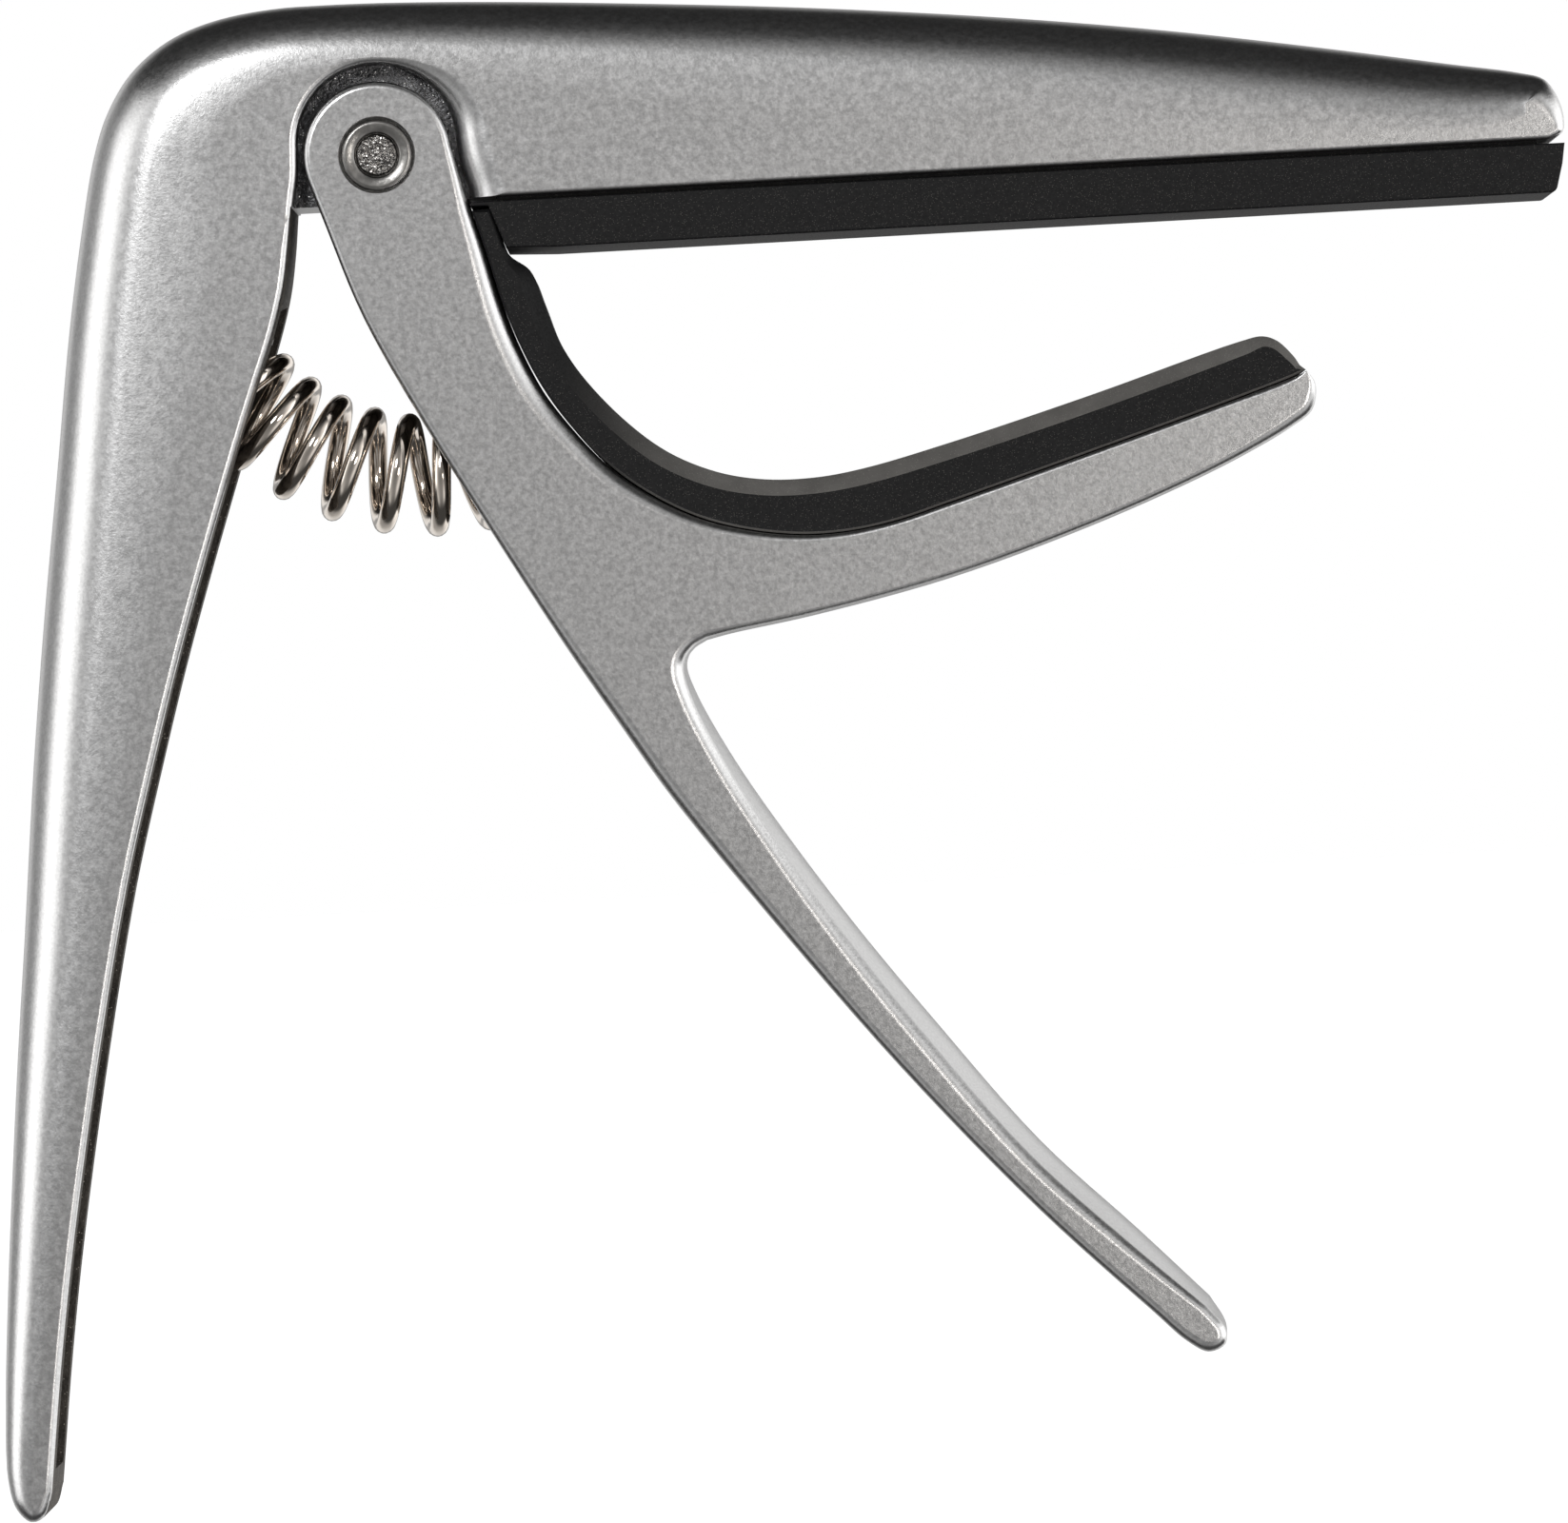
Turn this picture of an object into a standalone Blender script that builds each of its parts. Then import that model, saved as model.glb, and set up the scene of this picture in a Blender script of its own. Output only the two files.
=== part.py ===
"""Spring guitar capo: two castings hinged on a rivet, two rubber pads and a bent coil spring.

Frame: metres, +Z up. The fret pad presses down (-Z) on a fretboard lying in the XY plane, X runs
along the fret pad, Y is the thickness, and the lever turns about the rivet, along Y. The origin is
on the fret pad's pressing face, at its middle. Outlines are drawn in the XZ plane, in millimetres,
anticlockwise with X to the right and Z up. Each point of an outline is (x, z, edge radius).
"""

import math

import bmesh
import bpy
from mathutils import Matrix, Vector

MM = 0.001
GAP = 0.2  # between pieces that touch on the real object

# Thicknesses, along Y
ARM_HALF = 6.0
ARM_CHANNEL_HALF = 3.7
TONGUE_HALF = 3.8
LEVER_HALF = 5.8
LEVER_CHANNEL_HALF = TONGUE_HALF + GAP
PAD_HALF = 5.4
RIB_HALF = 1.8

# The pads' ribs and the grooves they sit in
RIB_DEPTH = 0.9
FRET_RIB_ENDS = (-25.0, 25.0)
PAD_TOP = 2.7
BEAM_UNDERSIDE = PAD_TOP + 0.25

# Hinge
PIVOT = (-36.0, 5.55)
EAR_RADIUS = 4.05
NOTCH_CENTRE = (-35.98, 5.8)
NOTCH_RADIUS = 4.75
NOTCH_EDGE = 0.45
SHAFT_RADIUS = 1.5
BORE_RADIUS = 1.6
HEAD_RADIUS = 1.95
HEAD_CLEARANCE = 0.1

# Spring, bent on an arc in the XZ plane; angles are from straight down, positive towards the arm
SPRING_CENTRE = Vector((-33.5, 1.95))
SPRING_RADIUS = 14.0
COIL_RADIUS = 2.87
WIRE_RADIUS = 0.53
ARM_SEAT = 63.0
LEVER_SEAT = -22.0
SPIGOT_RADIUS = 1.9
SPIGOT_LENGTH = 2.4
SPRING_TURNS = 8.5
END_TURNS = 0.75  # closed turn at each end
START_TURN = -0.55  # where the wire starts: 0 is the side nearest the hinge
LEAN = 1.0  # degrees that each coil leans
POINTS_PER_TURN = 16

CAST_SILVER = ((0.47, 0.47, 0.475, 1), 0.38, 1.0)
RIVET_STEEL = ((0.40, 0.39, 0.38, 1), 0.30, 1.0)
SPRING_NICKEL = ((0.62, 0.57, 0.52, 1), 0.15, 1.0)
BLACK_RUBBER = ((0.018, 0.018, 0.019, 1), 0.62, 0.0)

# Fixed arm: beam tip and top, corner, outer side of the handle
ARM_OUTSIDE = [
    (28.2, BEAM_UNDERSIDE, 0.25), (29.0, 3.3, 0.4), (29.15, 4.15, 0.7), (28.8, 5.45, 1.1),
    (28.2, 6.3, 1.6), (26.9, 6.75, 2.2), (23.3, 7.45, 2.8), (15.5, 8.9, 3.4), (7.7, 10.2, 3.8),
    (-0.8, 11.35, 3.8), (-11.75, 12.5, 3.8), (-22.0, 13.3, 3.8), (-31.0, 13.85, 3.8),
    (-37.0, 14.05, 3.8), (-41.4, 14.0, 3.8), (-44.8, 13.5, 3.8), (-47.3, 12.55, 3.8),
    (-49.4, 10.9, 3.8), (-50.8, 8.8, 3.8), (-51.65, 6.5, 3.8), (-52.5, 2.7, 3.8),
    (-53.55, -3.15, 3.8), (-54.65, -10.95, 3.8), (-55.8, -18.95, 3.8), (-56.8, -26.95, 3.6),
    (-57.75, -35.95, 3.3), (-58.45, -42.35, 3.0), (-59.1, -49.05, 2.6), (-59.7, -55.75, 2.2),
    (-60.15, -62.25, 1.7), (-60.2, -65.95, 1.3), (-59.8, -67.6, 1.0), (-59.0, -68.35, 0.8),
    (-58.2, -68.0, 0.6), (-57.75, -66.75, 0.4),
]
ARM_INSIDE = [
    (-57.75, -66.75, 0.4), (-56.85, -59.75, 0.4), (-55.75, -52.75, 0.4), (-53.8, -42.55, 0.4),
    (-51.85, -33.75, 0.4), (-50.05, -27.25, 0.4), (-48.1, -20.75, 0.4), (-45.0, -11.55, 0.4),
    (-43.4, -7.15, 0.4), (-42.3, -4.25, 0.4), (-41.5, -1.55, 0.4), (-41.1, 0.75, 0.4),
    (-40.85, BEAM_UNDERSIDE, 0.25),
]
ARM_WEB_INSIDE = [
    (-52.2, -12.25, 0), (-53.5, -20.25, 0), (-54.6, -28.25, 0), (-55.6, -36.25, 0), (-56.6, -44.25, 0),
    (-57.5, -51.25, 0), (-58.2, -58.25, 0), (-58.65, -63.75, 0), (-58.4, -65.55, 0),
]

# Lever: the side facing the handle from the ear to the tip, the trigger's outer side and the crotch
LEVER_LEFT = [
    (-39.3, 2.65, 0.4), (-37.2, -3.35, 0.4), (-34.2, -9.35, 0.45), (-30.1, -16.75, 0.5),
    (-27.05, -22.05, 0.6), (-24.4, -26.35, 0.7), (-21.8, -30.45, 0.8), (-17.05, -36.95, 0.9),
    (-10.05, -45.95, 0.9), (-2.85, -54.2, 0.9), (3.1, -60.15, 0.9), (4.85, -61.85, 0.9),
    (6.0, -62.5, 0.9), (6.95, -62.15, 0.9), (7.2, -61.2, 0.9), (6.4, -59.65, 1.1),
]
TRIGGER_RIGHT = [
    (6.4, -59.65, 1.1), (2.6, -55.7, 1.5), (-2.5, -50.55, 1.8), (-8.0, -43.55, 1.8),
    (-11.8, -38.45, 1.8), (-15.15, -33.55, 1.8), (-18.2, -28.65, 1.7), (-20.15, -24.75, 1.4),
    (-20.55, -23.25, 1.2), (-20.2, -22.4, 0.9), (-19.4, -21.9, 0.6),
]
JAW_UNDERSIDE = [
    (-19.4, -21.9, 0.6), (-18.0, -21.6, 0.4), (-13.4, -20.85, 0.35), (-5.75, -19.2, 0.35),
    (2.2, -16.75, 0.35), (8.4, -14.4, 0.4), (11.4, -13.05, 0.5), (13.5, -11.95, 0.6),
    (14.45, -11.25, 0.6), (14.75, -10.35, 0.5), (14.7, -9.65, 0.4), (14.3, -9.05, 0.3),
]
# The boundary between the lever and the neck pad, from the jaw's tip round to the ear
JAW_SEAT = [
    (13.6, -9.35, 0.25), (9.6, -10.65, 0.25), (2.4, -12.85, 0.25), (-5.5, -15.2, 0.25),
    (-8.5, -16.05, 0.25), (-11.2, -16.5, 0.3), (-13.9, -16.55, 0.35), (-17.1, -16.05, 0.4),
    (-19.8, -15.15, 0.5), (-22.4, -13.65, 0.6), (-24.3, -12.1, 0.7), (-26.0, -10.15, 0.8),
    (-27.6, -7.85, 0.9), (-28.75, -5.45, 0.9), (-29.6, -3.05, 0.8), (-30.45, 0.15, 0.7), (-31.05, 2.2, 0.5),
]
LEVER_WEB_INSIDE = [
    (-26.9, -14.35, 0), (-25.4, -18.25, 0), (-23.6, -22.75, 0), (-21.9, -26.25, 0), (-19.2, -30.55, 0),
    (-16.7, -34.25, 0), (-13.2, -39.25, 0), (-9.5, -44.15, 0), (-5.8, -48.85, 0), (-2.6, -52.45, 0),
    (0.6, -55.75, 0), (3.0, -58.15, 0), (4.3, -59.85, 0),
]
# The neck pad's side that meets the neck, from its top end to the jaw's tip
NECK_SIDE = [
    (-29.95, 2.3, 0.3), (-29.25, 0.1, 0.3), (-28.95, -0.4, 0.4), (-27.95, -1.2, 0.7), (-27.3, -2.95, 0.9),
    (-26.6, -5.05, 0.9), (-25.5, -7.0, 0.9), (-23.3, -9.6, 0.9), (-20.95, -11.55, 0.9),
    (-18.3, -12.8, 0.9), (-15.7, -13.35, 0.9), (-13.0, -13.4, 0.9), (-10.3, -13.05, 0.9),
    (-5.3, -11.85, 0.9), (2.6, -9.65, 0.9), (10.8, -7.2, 0.8), (12.0, -7.0, 0.6), (12.8, -7.3, 0.5),
    (13.65, -8.2, 0.4), (13.95, -8.7, 0.3),
]


# ---------------------------------------------------------------- outlines


def curve(points, steps=3):
    """Points on a centripetal Catmull-Rom curve through the given points, ends included."""
    ends = [Vector(p) for p in points]
    path = [2 * ends[0] - ends[1], *ends, 2 * ends[-1] - ends[-2]]
    found = []
    for p0, p1, p2, p3 in zip(path, path[1:], path[2:], path[3:]):
        t1 = (p1 - p0).xy.length ** 0.5
        t2 = t1 + (p2 - p1).xy.length ** 0.5
        t3 = t2 + (p3 - p2).xy.length ** 0.5
        for step in range(steps):
            t = t1 + (t2 - t1) * step / steps
            a1 = p0.lerp(p1, t / t1)
            a2 = p1.lerp(p2, (t - t1) / (t2 - t1))
            a3 = p2.lerp(p3, (t - t2) / (t3 - t2))
            b1 = a1.lerp(a2, t / t2)
            b2 = a2.lerp(a3, (t - t1) / (t3 - t1))
            found.append(b1.lerp(b2, (t - t1) / (t2 - t1)))
    return [*found, ends[-1]]


def arc(centre, radius, start, end, steps, edge=0.0):
    """Points on an arc from start to end, in degrees anticlockwise from +X."""
    angles = [math.radians(start + (end - start) * i / steps) for i in range(steps + 1)]
    return [
        Vector((centre[0] + radius * math.cos(a), centre[1] + radius * math.sin(a), edge))
        for a in angles
    ]


def joined(*stretches):
    """One closed outline from stretches in order, without repeated points."""
    outline = []
    for point in [Vector(p).to_3d() for stretch in stretches for p in stretch]:
        if not outline or (point - outline[-1]).xy.length > 0.02:
            outline.append(point)
    if (outline[0] - outline[-1]).xy.length <= 0.02:
        outline.pop()
    return outline


def outward_steps(outline):
    """How far each point moves, in XZ, when an anticlockwise outline grows by 1 mm."""
    steps = []
    for before, here, after in zip([outline[-1], *outline[:-1]], outline, [*outline[1:], outline[0]]):
        into = (here - before).xy.normalized()
        out_of = (after - here).xy.normalized()
        side = Vector((into.y + out_of.y, -into.x - out_of.x)).normalized()
        mitre = max(0.5, side.dot(Vector((out_of.y, -out_of.x))))
        steps.append(side / mitre)
    return steps


def beside(points, distance):
    """An open stretch moved sideways: positive is to the right of its direction."""
    moved = []
    for i, here in enumerate(points):
        along = (points[min(i + 1, len(points) - 1)] - points[max(i - 1, 0)]).xy.normalized()
        moved.append(here + Vector((along.y, -along.x, 0)) * distance)
    return moved


def on_spring(angle, radius=SPRING_RADIUS):
    """A point in XZ at an angle and radius about the spring's centre of bend."""
    turn = math.radians(angle)
    return SPRING_CENTRE - Vector((math.sin(turn), math.cos(turn))) * radius


# ---------------------------------------------------------------- solids


def material(name, look):
    colour, roughness, metallic = look
    made = bpy.data.materials.new(name)
    made.use_nodes = True
    shader = made.node_tree.nodes["Principled BSDF"]
    shader.inputs["Base Color"].default_value = colour
    shader.inputs["Roughness"].default_value = roughness
    shader.inputs["Metallic"].default_value = metallic
    return made


def finished(bm, name):
    """The mesh of a bmesh drawn in millimetres, in metres and facing outwards."""
    bmesh.ops.remove_doubles(bm, verts=bm.verts, dist=1e-4)
    bmesh.ops.recalc_face_normals(bm, faces=bm.faces)
    bmesh.ops.scale(bm, verts=bm.verts, vec=(MM, MM, MM))
    mesh = bpy.data.meshes.new(name)
    bm.to_mesh(mesh)
    bm.free()
    return mesh


def plate(name, outline, levels):
    """A closed plate. A level (y, depth, inset) adds depth and inset times each point's edge radius."""
    bm = bmesh.new()
    steps = outward_steps(outline)
    loops = []
    for y, depth, inset in levels:
        spots = [point.xy - step * point.z * inset for point, step in zip(outline, steps)]
        ys = [y + depth * point.z for point in outline]
        loops.append([bm.verts.new((spot.x, y_here, spot.y)) for spot, y_here in zip(spots, ys)])
    for near, far in zip(loops, loops[1:]):
        for i in range(len(near)):
            bm.faces.new((near[i - 1], near[i], far[i], far[i - 1]))
    bm.faces.new(loops[0])
    bm.faces.new(loops[-1])
    return finished(bm, name)


def quarter_turn(rings):
    """(cos, sin) at equal steps from 0 to 90 degrees."""
    return [(math.cos(math.pi / 2 * i / rings), math.sin(math.pi / 2 * i / rings)) for i in range(rings + 1)]


def rounded(low, high, rings=3):
    """Levels of a plate whose edges are rounded on both faces."""
    front = [(low, 1 - c, 1 - s) for c, s in quarter_turn(rings)]
    back = [(high, c - 1, 1 - s) for c, s in reversed(quarter_turn(rings))]
    return front + back


def straight(low, high):
    """Levels of a plate with sharp edges."""
    return [(low, 0, 0), (high, 0, 0)]


def flared(face, floor, rings=3):
    """Levels of a cutter that goes from beyond a face down to a floor and rounds the rim it leaves."""
    way = math.copysign(1, floor - face)
    rim = [(face, way * (1 - c), s - 1) for c, s in quarter_turn(rings)]
    return [(face - way, 0, -1), *rim, (floor, 0, 0)]


def turned(name, profile, steps=48):
    """A solid turned about the hinge, from a profile of (radius, y) that starts and ends on the axis."""
    bm = bmesh.new()
    verts = [bm.verts.new((PIVOT[0] + radius, y, PIVOT[1])) for radius, y in profile]
    for near, far in zip(verts, verts[1:]):
        bm.edges.new((near, far))
    bmesh.ops.spin(
        bm,
        geom=[*bm.verts, *bm.edges],
        cent=(PIVOT[0], 0, PIVOT[1]),
        axis=(0, 1, 0),
        angle=math.tau,
        steps=steps,
        use_merge=True,
    )
    return finished(bm, name)


def spigot(name, angle, inwards):
    """The post on a spring seat. inwards is the sign of the way into the casting."""
    along = Vector((math.cos(math.radians(angle)), 0, -math.sin(math.radians(angle)))) * inwards
    seat = on_spring(angle)
    root = 1.0
    centre = Vector((seat.x, 0, seat.y)) + along * (root - SPIGOT_LENGTH) / 2
    bm = bmesh.new()
    bmesh.ops.create_cone(
        bm,
        cap_ends=True,
        segments=32,
        radius1=SPIGOT_RADIUS,
        radius2=SPIGOT_RADIUS,
        depth=root + SPIGOT_LENGTH,
        matrix=Matrix.Translation(centre) @ along.to_track_quat("Z", "Y").to_matrix().to_4x4(),
    )
    return finished(bm, name)


# ---------------------------------------------------------------- objects


def add_object(name, mesh, look):
    obj = bpy.data.objects.new(name, mesh)
    bpy.context.scene.collection.objects.link(obj)
    mesh.materials.append(material(name + "_finish", look))
    return obj


def combine(obj, tool_mesh, operation):
    """Cuts a mesh from an object, or joins it on, and applies the result."""
    tool = bpy.data.objects.new(tool_mesh.name, tool_mesh)
    bpy.context.scene.collection.objects.link(tool)
    modifier = obj.modifiers.new(operation.lower(), "BOOLEAN")
    modifier.operation = operation
    modifier.object = tool
    graph = bpy.context.evaluated_depsgraph_get()
    mesh = bpy.data.meshes.new_from_object(obj.evaluated_get(graph))
    obj.modifiers.clear()
    obj.data = mesh
    bpy.data.objects.remove(tool, do_unlink=True)


def set_origin(obj, x, z):
    """Moves an object's origin to a place in XZ, in millimetres, and leaves its shape where it is."""
    place = Vector((x * MM, 0, z * MM))
    obj.data.transform(Matrix.Translation(-place))
    obj.location = place


def shade(obj):
    obj.data.shade_smooth()
    obj.data.set_sharp_from_angle(angle=math.radians(35))


def hinge_bore():
    """The bore through ears and tongue, with a countersink in each ear for the rivet's heads."""
    rim = HEAD_RADIUS + HEAD_CLEARANCE
    half = [(rim, LEVER_HALF + 1), (rim, 5.6), (BORE_RADIUS, 4.95)]
    return turned(
        "hinge_bore",
        [(0, -LEVER_HALF - 1), *[(r, -y) for r, y in half], *reversed(half), (0, LEVER_HALF + 1)],
    )


def fixed_arm():
    """Beam and rear handle in one casting: a channel open towards the lever, with a hinge tongue."""
    outline = joined(curve(ARM_OUTSIDE), curve(ARM_INSIDE), [(28.2, BEAM_UNDERSIDE, 0.25)])
    arm = add_object("fixed_arm", plate("fixed_arm", outline, rounded(-ARM_HALF, ARM_HALF)), CAST_SILVER)
    inner = on_spring(ARM_SEAT, SPRING_RADIUS - 7)
    outer = on_spring(ARM_SEAT, SPRING_RADIUS + 6.3)
    open_side = [(-56.0, -65.55, 0), (-54.3, -52.0, 0), (-51.0, -38.0, 0), (-43.0, -18.0, 0), (-39.0, -6.0, 0)]
    channel = joined([inner.to_3d(), outer.to_3d()], curve(ARM_WEB_INSIDE), open_side)
    combine(arm, plate("channel", channel, straight(-ARM_CHANNEL_HALF, ARM_CHANNEL_HALF)), "DIFFERENCE")
    recess = joined(
        [(-40.8, 2.5, NOTCH_EDGE), (-30.9, 2.5, NOTCH_EDGE), (-31.02, 3.05, NOTCH_EDGE)],
        arc(NOTCH_CENTRE, NOTCH_RADIUS, -4, 180, 30, NOTCH_EDGE),
    )
    for side in (-1, 1):
        cutter = plate("recess", recess, flared(side * ARM_HALF, side * TONGUE_HALF))
        combine(arm, cutter, "DIFFERENCE")
    groove = joined(
        [(FRET_RIB_ENDS[0] - GAP, 1.7, 0), (FRET_RIB_ENDS[1] + GAP, 1.7, 0)],
        [(x, BEAM_UNDERSIDE + RIB_DEPTH + GAP, 0) for x in (FRET_RIB_ENDS[1] + GAP, FRET_RIB_ENDS[0] - GAP)],
    )
    combine(arm, plate("groove", groove, straight(-RIB_HALF - GAP, RIB_HALF + GAP)), "DIFFERENCE")
    combine(arm, spigot("arm_spigot", ARM_SEAT, -1), "UNION")
    combine(arm, hinge_bore(), "DIFFERENCE")
    shade(arm)
    return arm


def lever():
    """Ears, jaw and trigger in one casting: a channel open towards the handle."""
    outline = joined(
        arc(PIVOT, EAR_RADIUS, 8, 196, 30, 0.35),
        curve(LEVER_LEFT),
        curve(TRIGGER_RIGHT),
        curve(JAW_UNDERSIDE),
        curve(JAW_SEAT),
        [(-31.55, 4.25, 0.35)],
    )
    casting = add_object("lever", plate("lever", outline, rounded(-LEVER_HALF, LEVER_HALF)), CAST_SILVER)
    inner = on_spring(LEVER_SEAT, SPRING_RADIUS - 3.6)
    outer = on_spring(LEVER_SEAT, SPRING_RADIUS + 3.6)
    web = curve([*LEVER_WEB_INSIDE[1:]])
    hollow = joined(
        [(-24.0, 12.0, 0), (-46.0, 12.0, 0), (-46.0, -4.0, 0), (-2.0, -64.0, 0), (3.4, -60.6, 0)],
        reversed(web),
        [outer.to_3d(), inner.to_3d()],
        [(-31.7, -3.65, 0), (-32.7, -0.25, 0), (-33.3, 2.35, 0), (-24.0, 2.35, 0)],
    )
    cutter = plate("hollow", hollow, straight(-LEVER_CHANNEL_HALF, LEVER_CHANNEL_HALF))
    combine(casting, cutter, "DIFFERENCE")
    combine(casting, neck_pad_rib("neck_groove", RIB_DEPTH + GAP, RIB_HALF + GAP, GAP), "DIFFERENCE")
    combine(casting, spigot("lever_spigot", LEVER_SEAT, 1), "UNION")
    combine(casting, hinge_bore(), "DIFFERENCE")
    set_origin(casting, *PIVOT)
    shade(casting)
    return casting


def neck_pad_rib(name, depth, half, longer):
    """The rib under the neck pad or, made longer and deeper, the groove for it."""
    seat = curve(JAW_SEAT)
    seat = [near.lerp(far, 0.3) for near, far in zip(seat, seat[1:])]
    seat = [p for p in seat if -21 - longer < p.x < 11 + longer]
    outline = joined(beside(seat, 2 * GAP), list(reversed(beside(seat, -depth))))
    return plate(name, outline, straight(-half, half))


def fret_pad():
    """The straight rubber bar under the beam, held by a rib in the beam's groove."""
    outline = joined(
        [(-29.05, 0.2, 0.3), (-26.5, 0, 0.3), (28.2, 0, 0.3), (28.6, 0.25, 0.3), (29.15, PAD_TOP, 0.3)],
        [(-29.85, PAD_TOP, 0.3)],
    )
    pad = add_object("fret_pad", plate("fret_pad", outline, rounded(-PAD_HALF, PAD_HALF, 2)), BLACK_RUBBER)
    rib = joined(
        [(FRET_RIB_ENDS[0], 1.7, 0), (FRET_RIB_ENDS[1], 1.7, 0)],
        [(x, BEAM_UNDERSIDE + RIB_DEPTH, 0) for x in reversed(FRET_RIB_ENDS)],
    )
    combine(pad, plate("fret_rib", rib, straight(-RIB_HALF, RIB_HALF)), "UNION")
    shade(pad)
    return pad


def neck_pad():
    """The curved rubber lining of the jaw, held by a rib in the jaw's groove."""
    seat = curve(JAW_SEAT)
    for point in seat:
        point.z = 0.15
    outline = joined(curve(NECK_SIDE), beside(seat, GAP))
    outline.reverse()
    pad = add_object("neck_pad", plate("neck_pad", outline, rounded(-PAD_HALF, PAD_HALF, 2)), BLACK_RUBBER)
    combine(pad, neck_pad_rib("neck_rib", RIB_DEPTH, RIB_HALF, 0), "UNION")
    set_origin(pad, *PIVOT)
    shade(pad)
    return pad


def pivot_rivet():
    """The steel hinge rivet: a peened, dished head in front and a low dome behind."""
    profile = [
        (0, -5.62), (0.7, -5.64), (1.1, -5.6), (1.18, -5.45), (1.6, -5.5), (1.8, -5.72),
        (HEAD_RADIUS, -5.6), (SHAFT_RADIUS, -4.95), (SHAFT_RADIUS, 4.95), (HEAD_RADIUS, 5.6),
        (1.7, 5.82), (1.0, 5.92), (0, 5.95),
    ]
    rivet = add_object("pivot_rivet", turned("pivot_rivet", profile), RIVET_STEEL)
    set_origin(rivet, *PIVOT)
    shade(rivet)
    return rivet


def spring_route():
    """The wire's centreline: a left-hand helix about the arc, with closed turns at both ends."""
    clear = math.degrees((WIRE_RADIUS + GAP) / SPRING_RADIUS)
    start, end = ARM_SEAT - clear, LEVER_SEAT + clear
    closed = math.degrees((2 * WIRE_RADIUS + 0.05) / (SPRING_RADIUS - COIL_RADIUS))
    active = (start - end - 2 * END_TURNS * closed) / (SPRING_TURNS - 2 * END_TURNS)
    angle = start
    route = []
    for i in range(int(SPRING_TURNS * POINTS_PER_TURN) + 1):
        turns = i / POINTS_PER_TURN
        swing = math.tau * (START_TURN + turns)
        spot = on_spring(angle + LEAN * math.cos(swing), SPRING_RADIUS - COIL_RADIUS * math.cos(swing))
        route.append((spot.x * MM, COIL_RADIUS * math.sin(swing) * MM, spot.y * MM))
        in_end = turns < END_TURNS or turns >= SPRING_TURNS - END_TURNS
        angle -= (closed if in_end else active) / POINTS_PER_TURN
    return route


def coil_spring():
    """The bent compression spring between the two castings."""
    route = spring_route()
    wire = bpy.data.curves.new("coil_spring", "CURVE")
    wire.dimensions = "3D"
    wire.bevel_depth = WIRE_RADIUS * MM
    wire.bevel_resolution = 2
    wire.use_fill_caps = True
    spline = wire.splines.new("POLY")
    spline.points.add(len(route) - 1)
    for point, spot in zip(spline.points, route):
        point.co = (*spot, 1)
    return add_object("coil_spring", wire, SPRING_NICKEL)


def main():
    for obj in list(bpy.data.objects):
        bpy.data.objects.remove(obj, do_unlink=True)
    fixed_arm()
    lever()
    fret_pad()
    neck_pad()
    pivot_rivet()
    coil_spring()


main()
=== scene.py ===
"""Looks of a spring guitar capo: two satin castings, black rubber pads, a rivet and a bright coil spring.

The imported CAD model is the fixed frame: metres, +Z up, the fret pad presses down (-Z), X runs along the
pad, Y is the thickness and the hinge axis. Sizes in this file are in millimetres unless a name says so.
"""

import logging
import math
from collections.abc import Iterable, Sequence
from dataclasses import dataclass, field
from enum import Enum

import bmesh
import bpy
from bmesh.types import BMEdge, BMesh, BMFace, BMVert
from bpy.types import Material, Node, NodeSocket, NodeTree, Object
from mathutils import Matrix, Vector

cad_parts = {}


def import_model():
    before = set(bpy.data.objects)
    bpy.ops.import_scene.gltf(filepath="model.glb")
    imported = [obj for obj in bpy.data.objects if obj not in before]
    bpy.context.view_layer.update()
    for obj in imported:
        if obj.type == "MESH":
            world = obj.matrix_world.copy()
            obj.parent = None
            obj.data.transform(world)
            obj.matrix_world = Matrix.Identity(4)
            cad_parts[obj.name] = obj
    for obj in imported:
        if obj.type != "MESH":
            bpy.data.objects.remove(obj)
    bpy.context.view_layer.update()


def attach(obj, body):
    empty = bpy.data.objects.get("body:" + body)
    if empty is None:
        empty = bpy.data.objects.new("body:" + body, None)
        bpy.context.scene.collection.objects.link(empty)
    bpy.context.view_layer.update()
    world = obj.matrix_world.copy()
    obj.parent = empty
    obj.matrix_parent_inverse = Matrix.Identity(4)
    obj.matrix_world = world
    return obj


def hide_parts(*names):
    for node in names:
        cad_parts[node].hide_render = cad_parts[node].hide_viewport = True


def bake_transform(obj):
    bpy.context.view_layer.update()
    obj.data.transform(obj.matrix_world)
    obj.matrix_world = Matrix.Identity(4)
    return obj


MM = 0.001
SAME_POINT = 0.01  # outline points nearer than this are one
MERGE = 1e-4  # vertices nearer than this are one
PIVOT = Vector((-36.0, 5.55))
PAD_TOP = 2.7
BEAM_UNDERSIDE = 2.95

log = logging.getLogger("capo")

Spot = tuple[float, ...]  # (x, z), then the rim radius and the crown where they aren't 0
Tone = tuple[float, float, float]
Stops = Sequence[tuple[float, float]]


class Body(Enum):
    """The bodies that pieces ride on."""

    ARM = "arm"
    LEVER = "squeeze_lever"


class Slot(Enum):
    """The record's material slots."""

    CAST = "cast_silver"
    RUBBER = "black_rubber"
    RIVET = "rivet_steel"
    SPRING = "spring_nickel"


# ------------------------------------------------------------------ outlines


def full(point: Iterable[float]) -> Vector:
    """A point as (x, z, rim radius, crown), with zeros for what it leaves out."""
    return Vector((*point, 0.0, 0.0)[:4])


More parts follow.
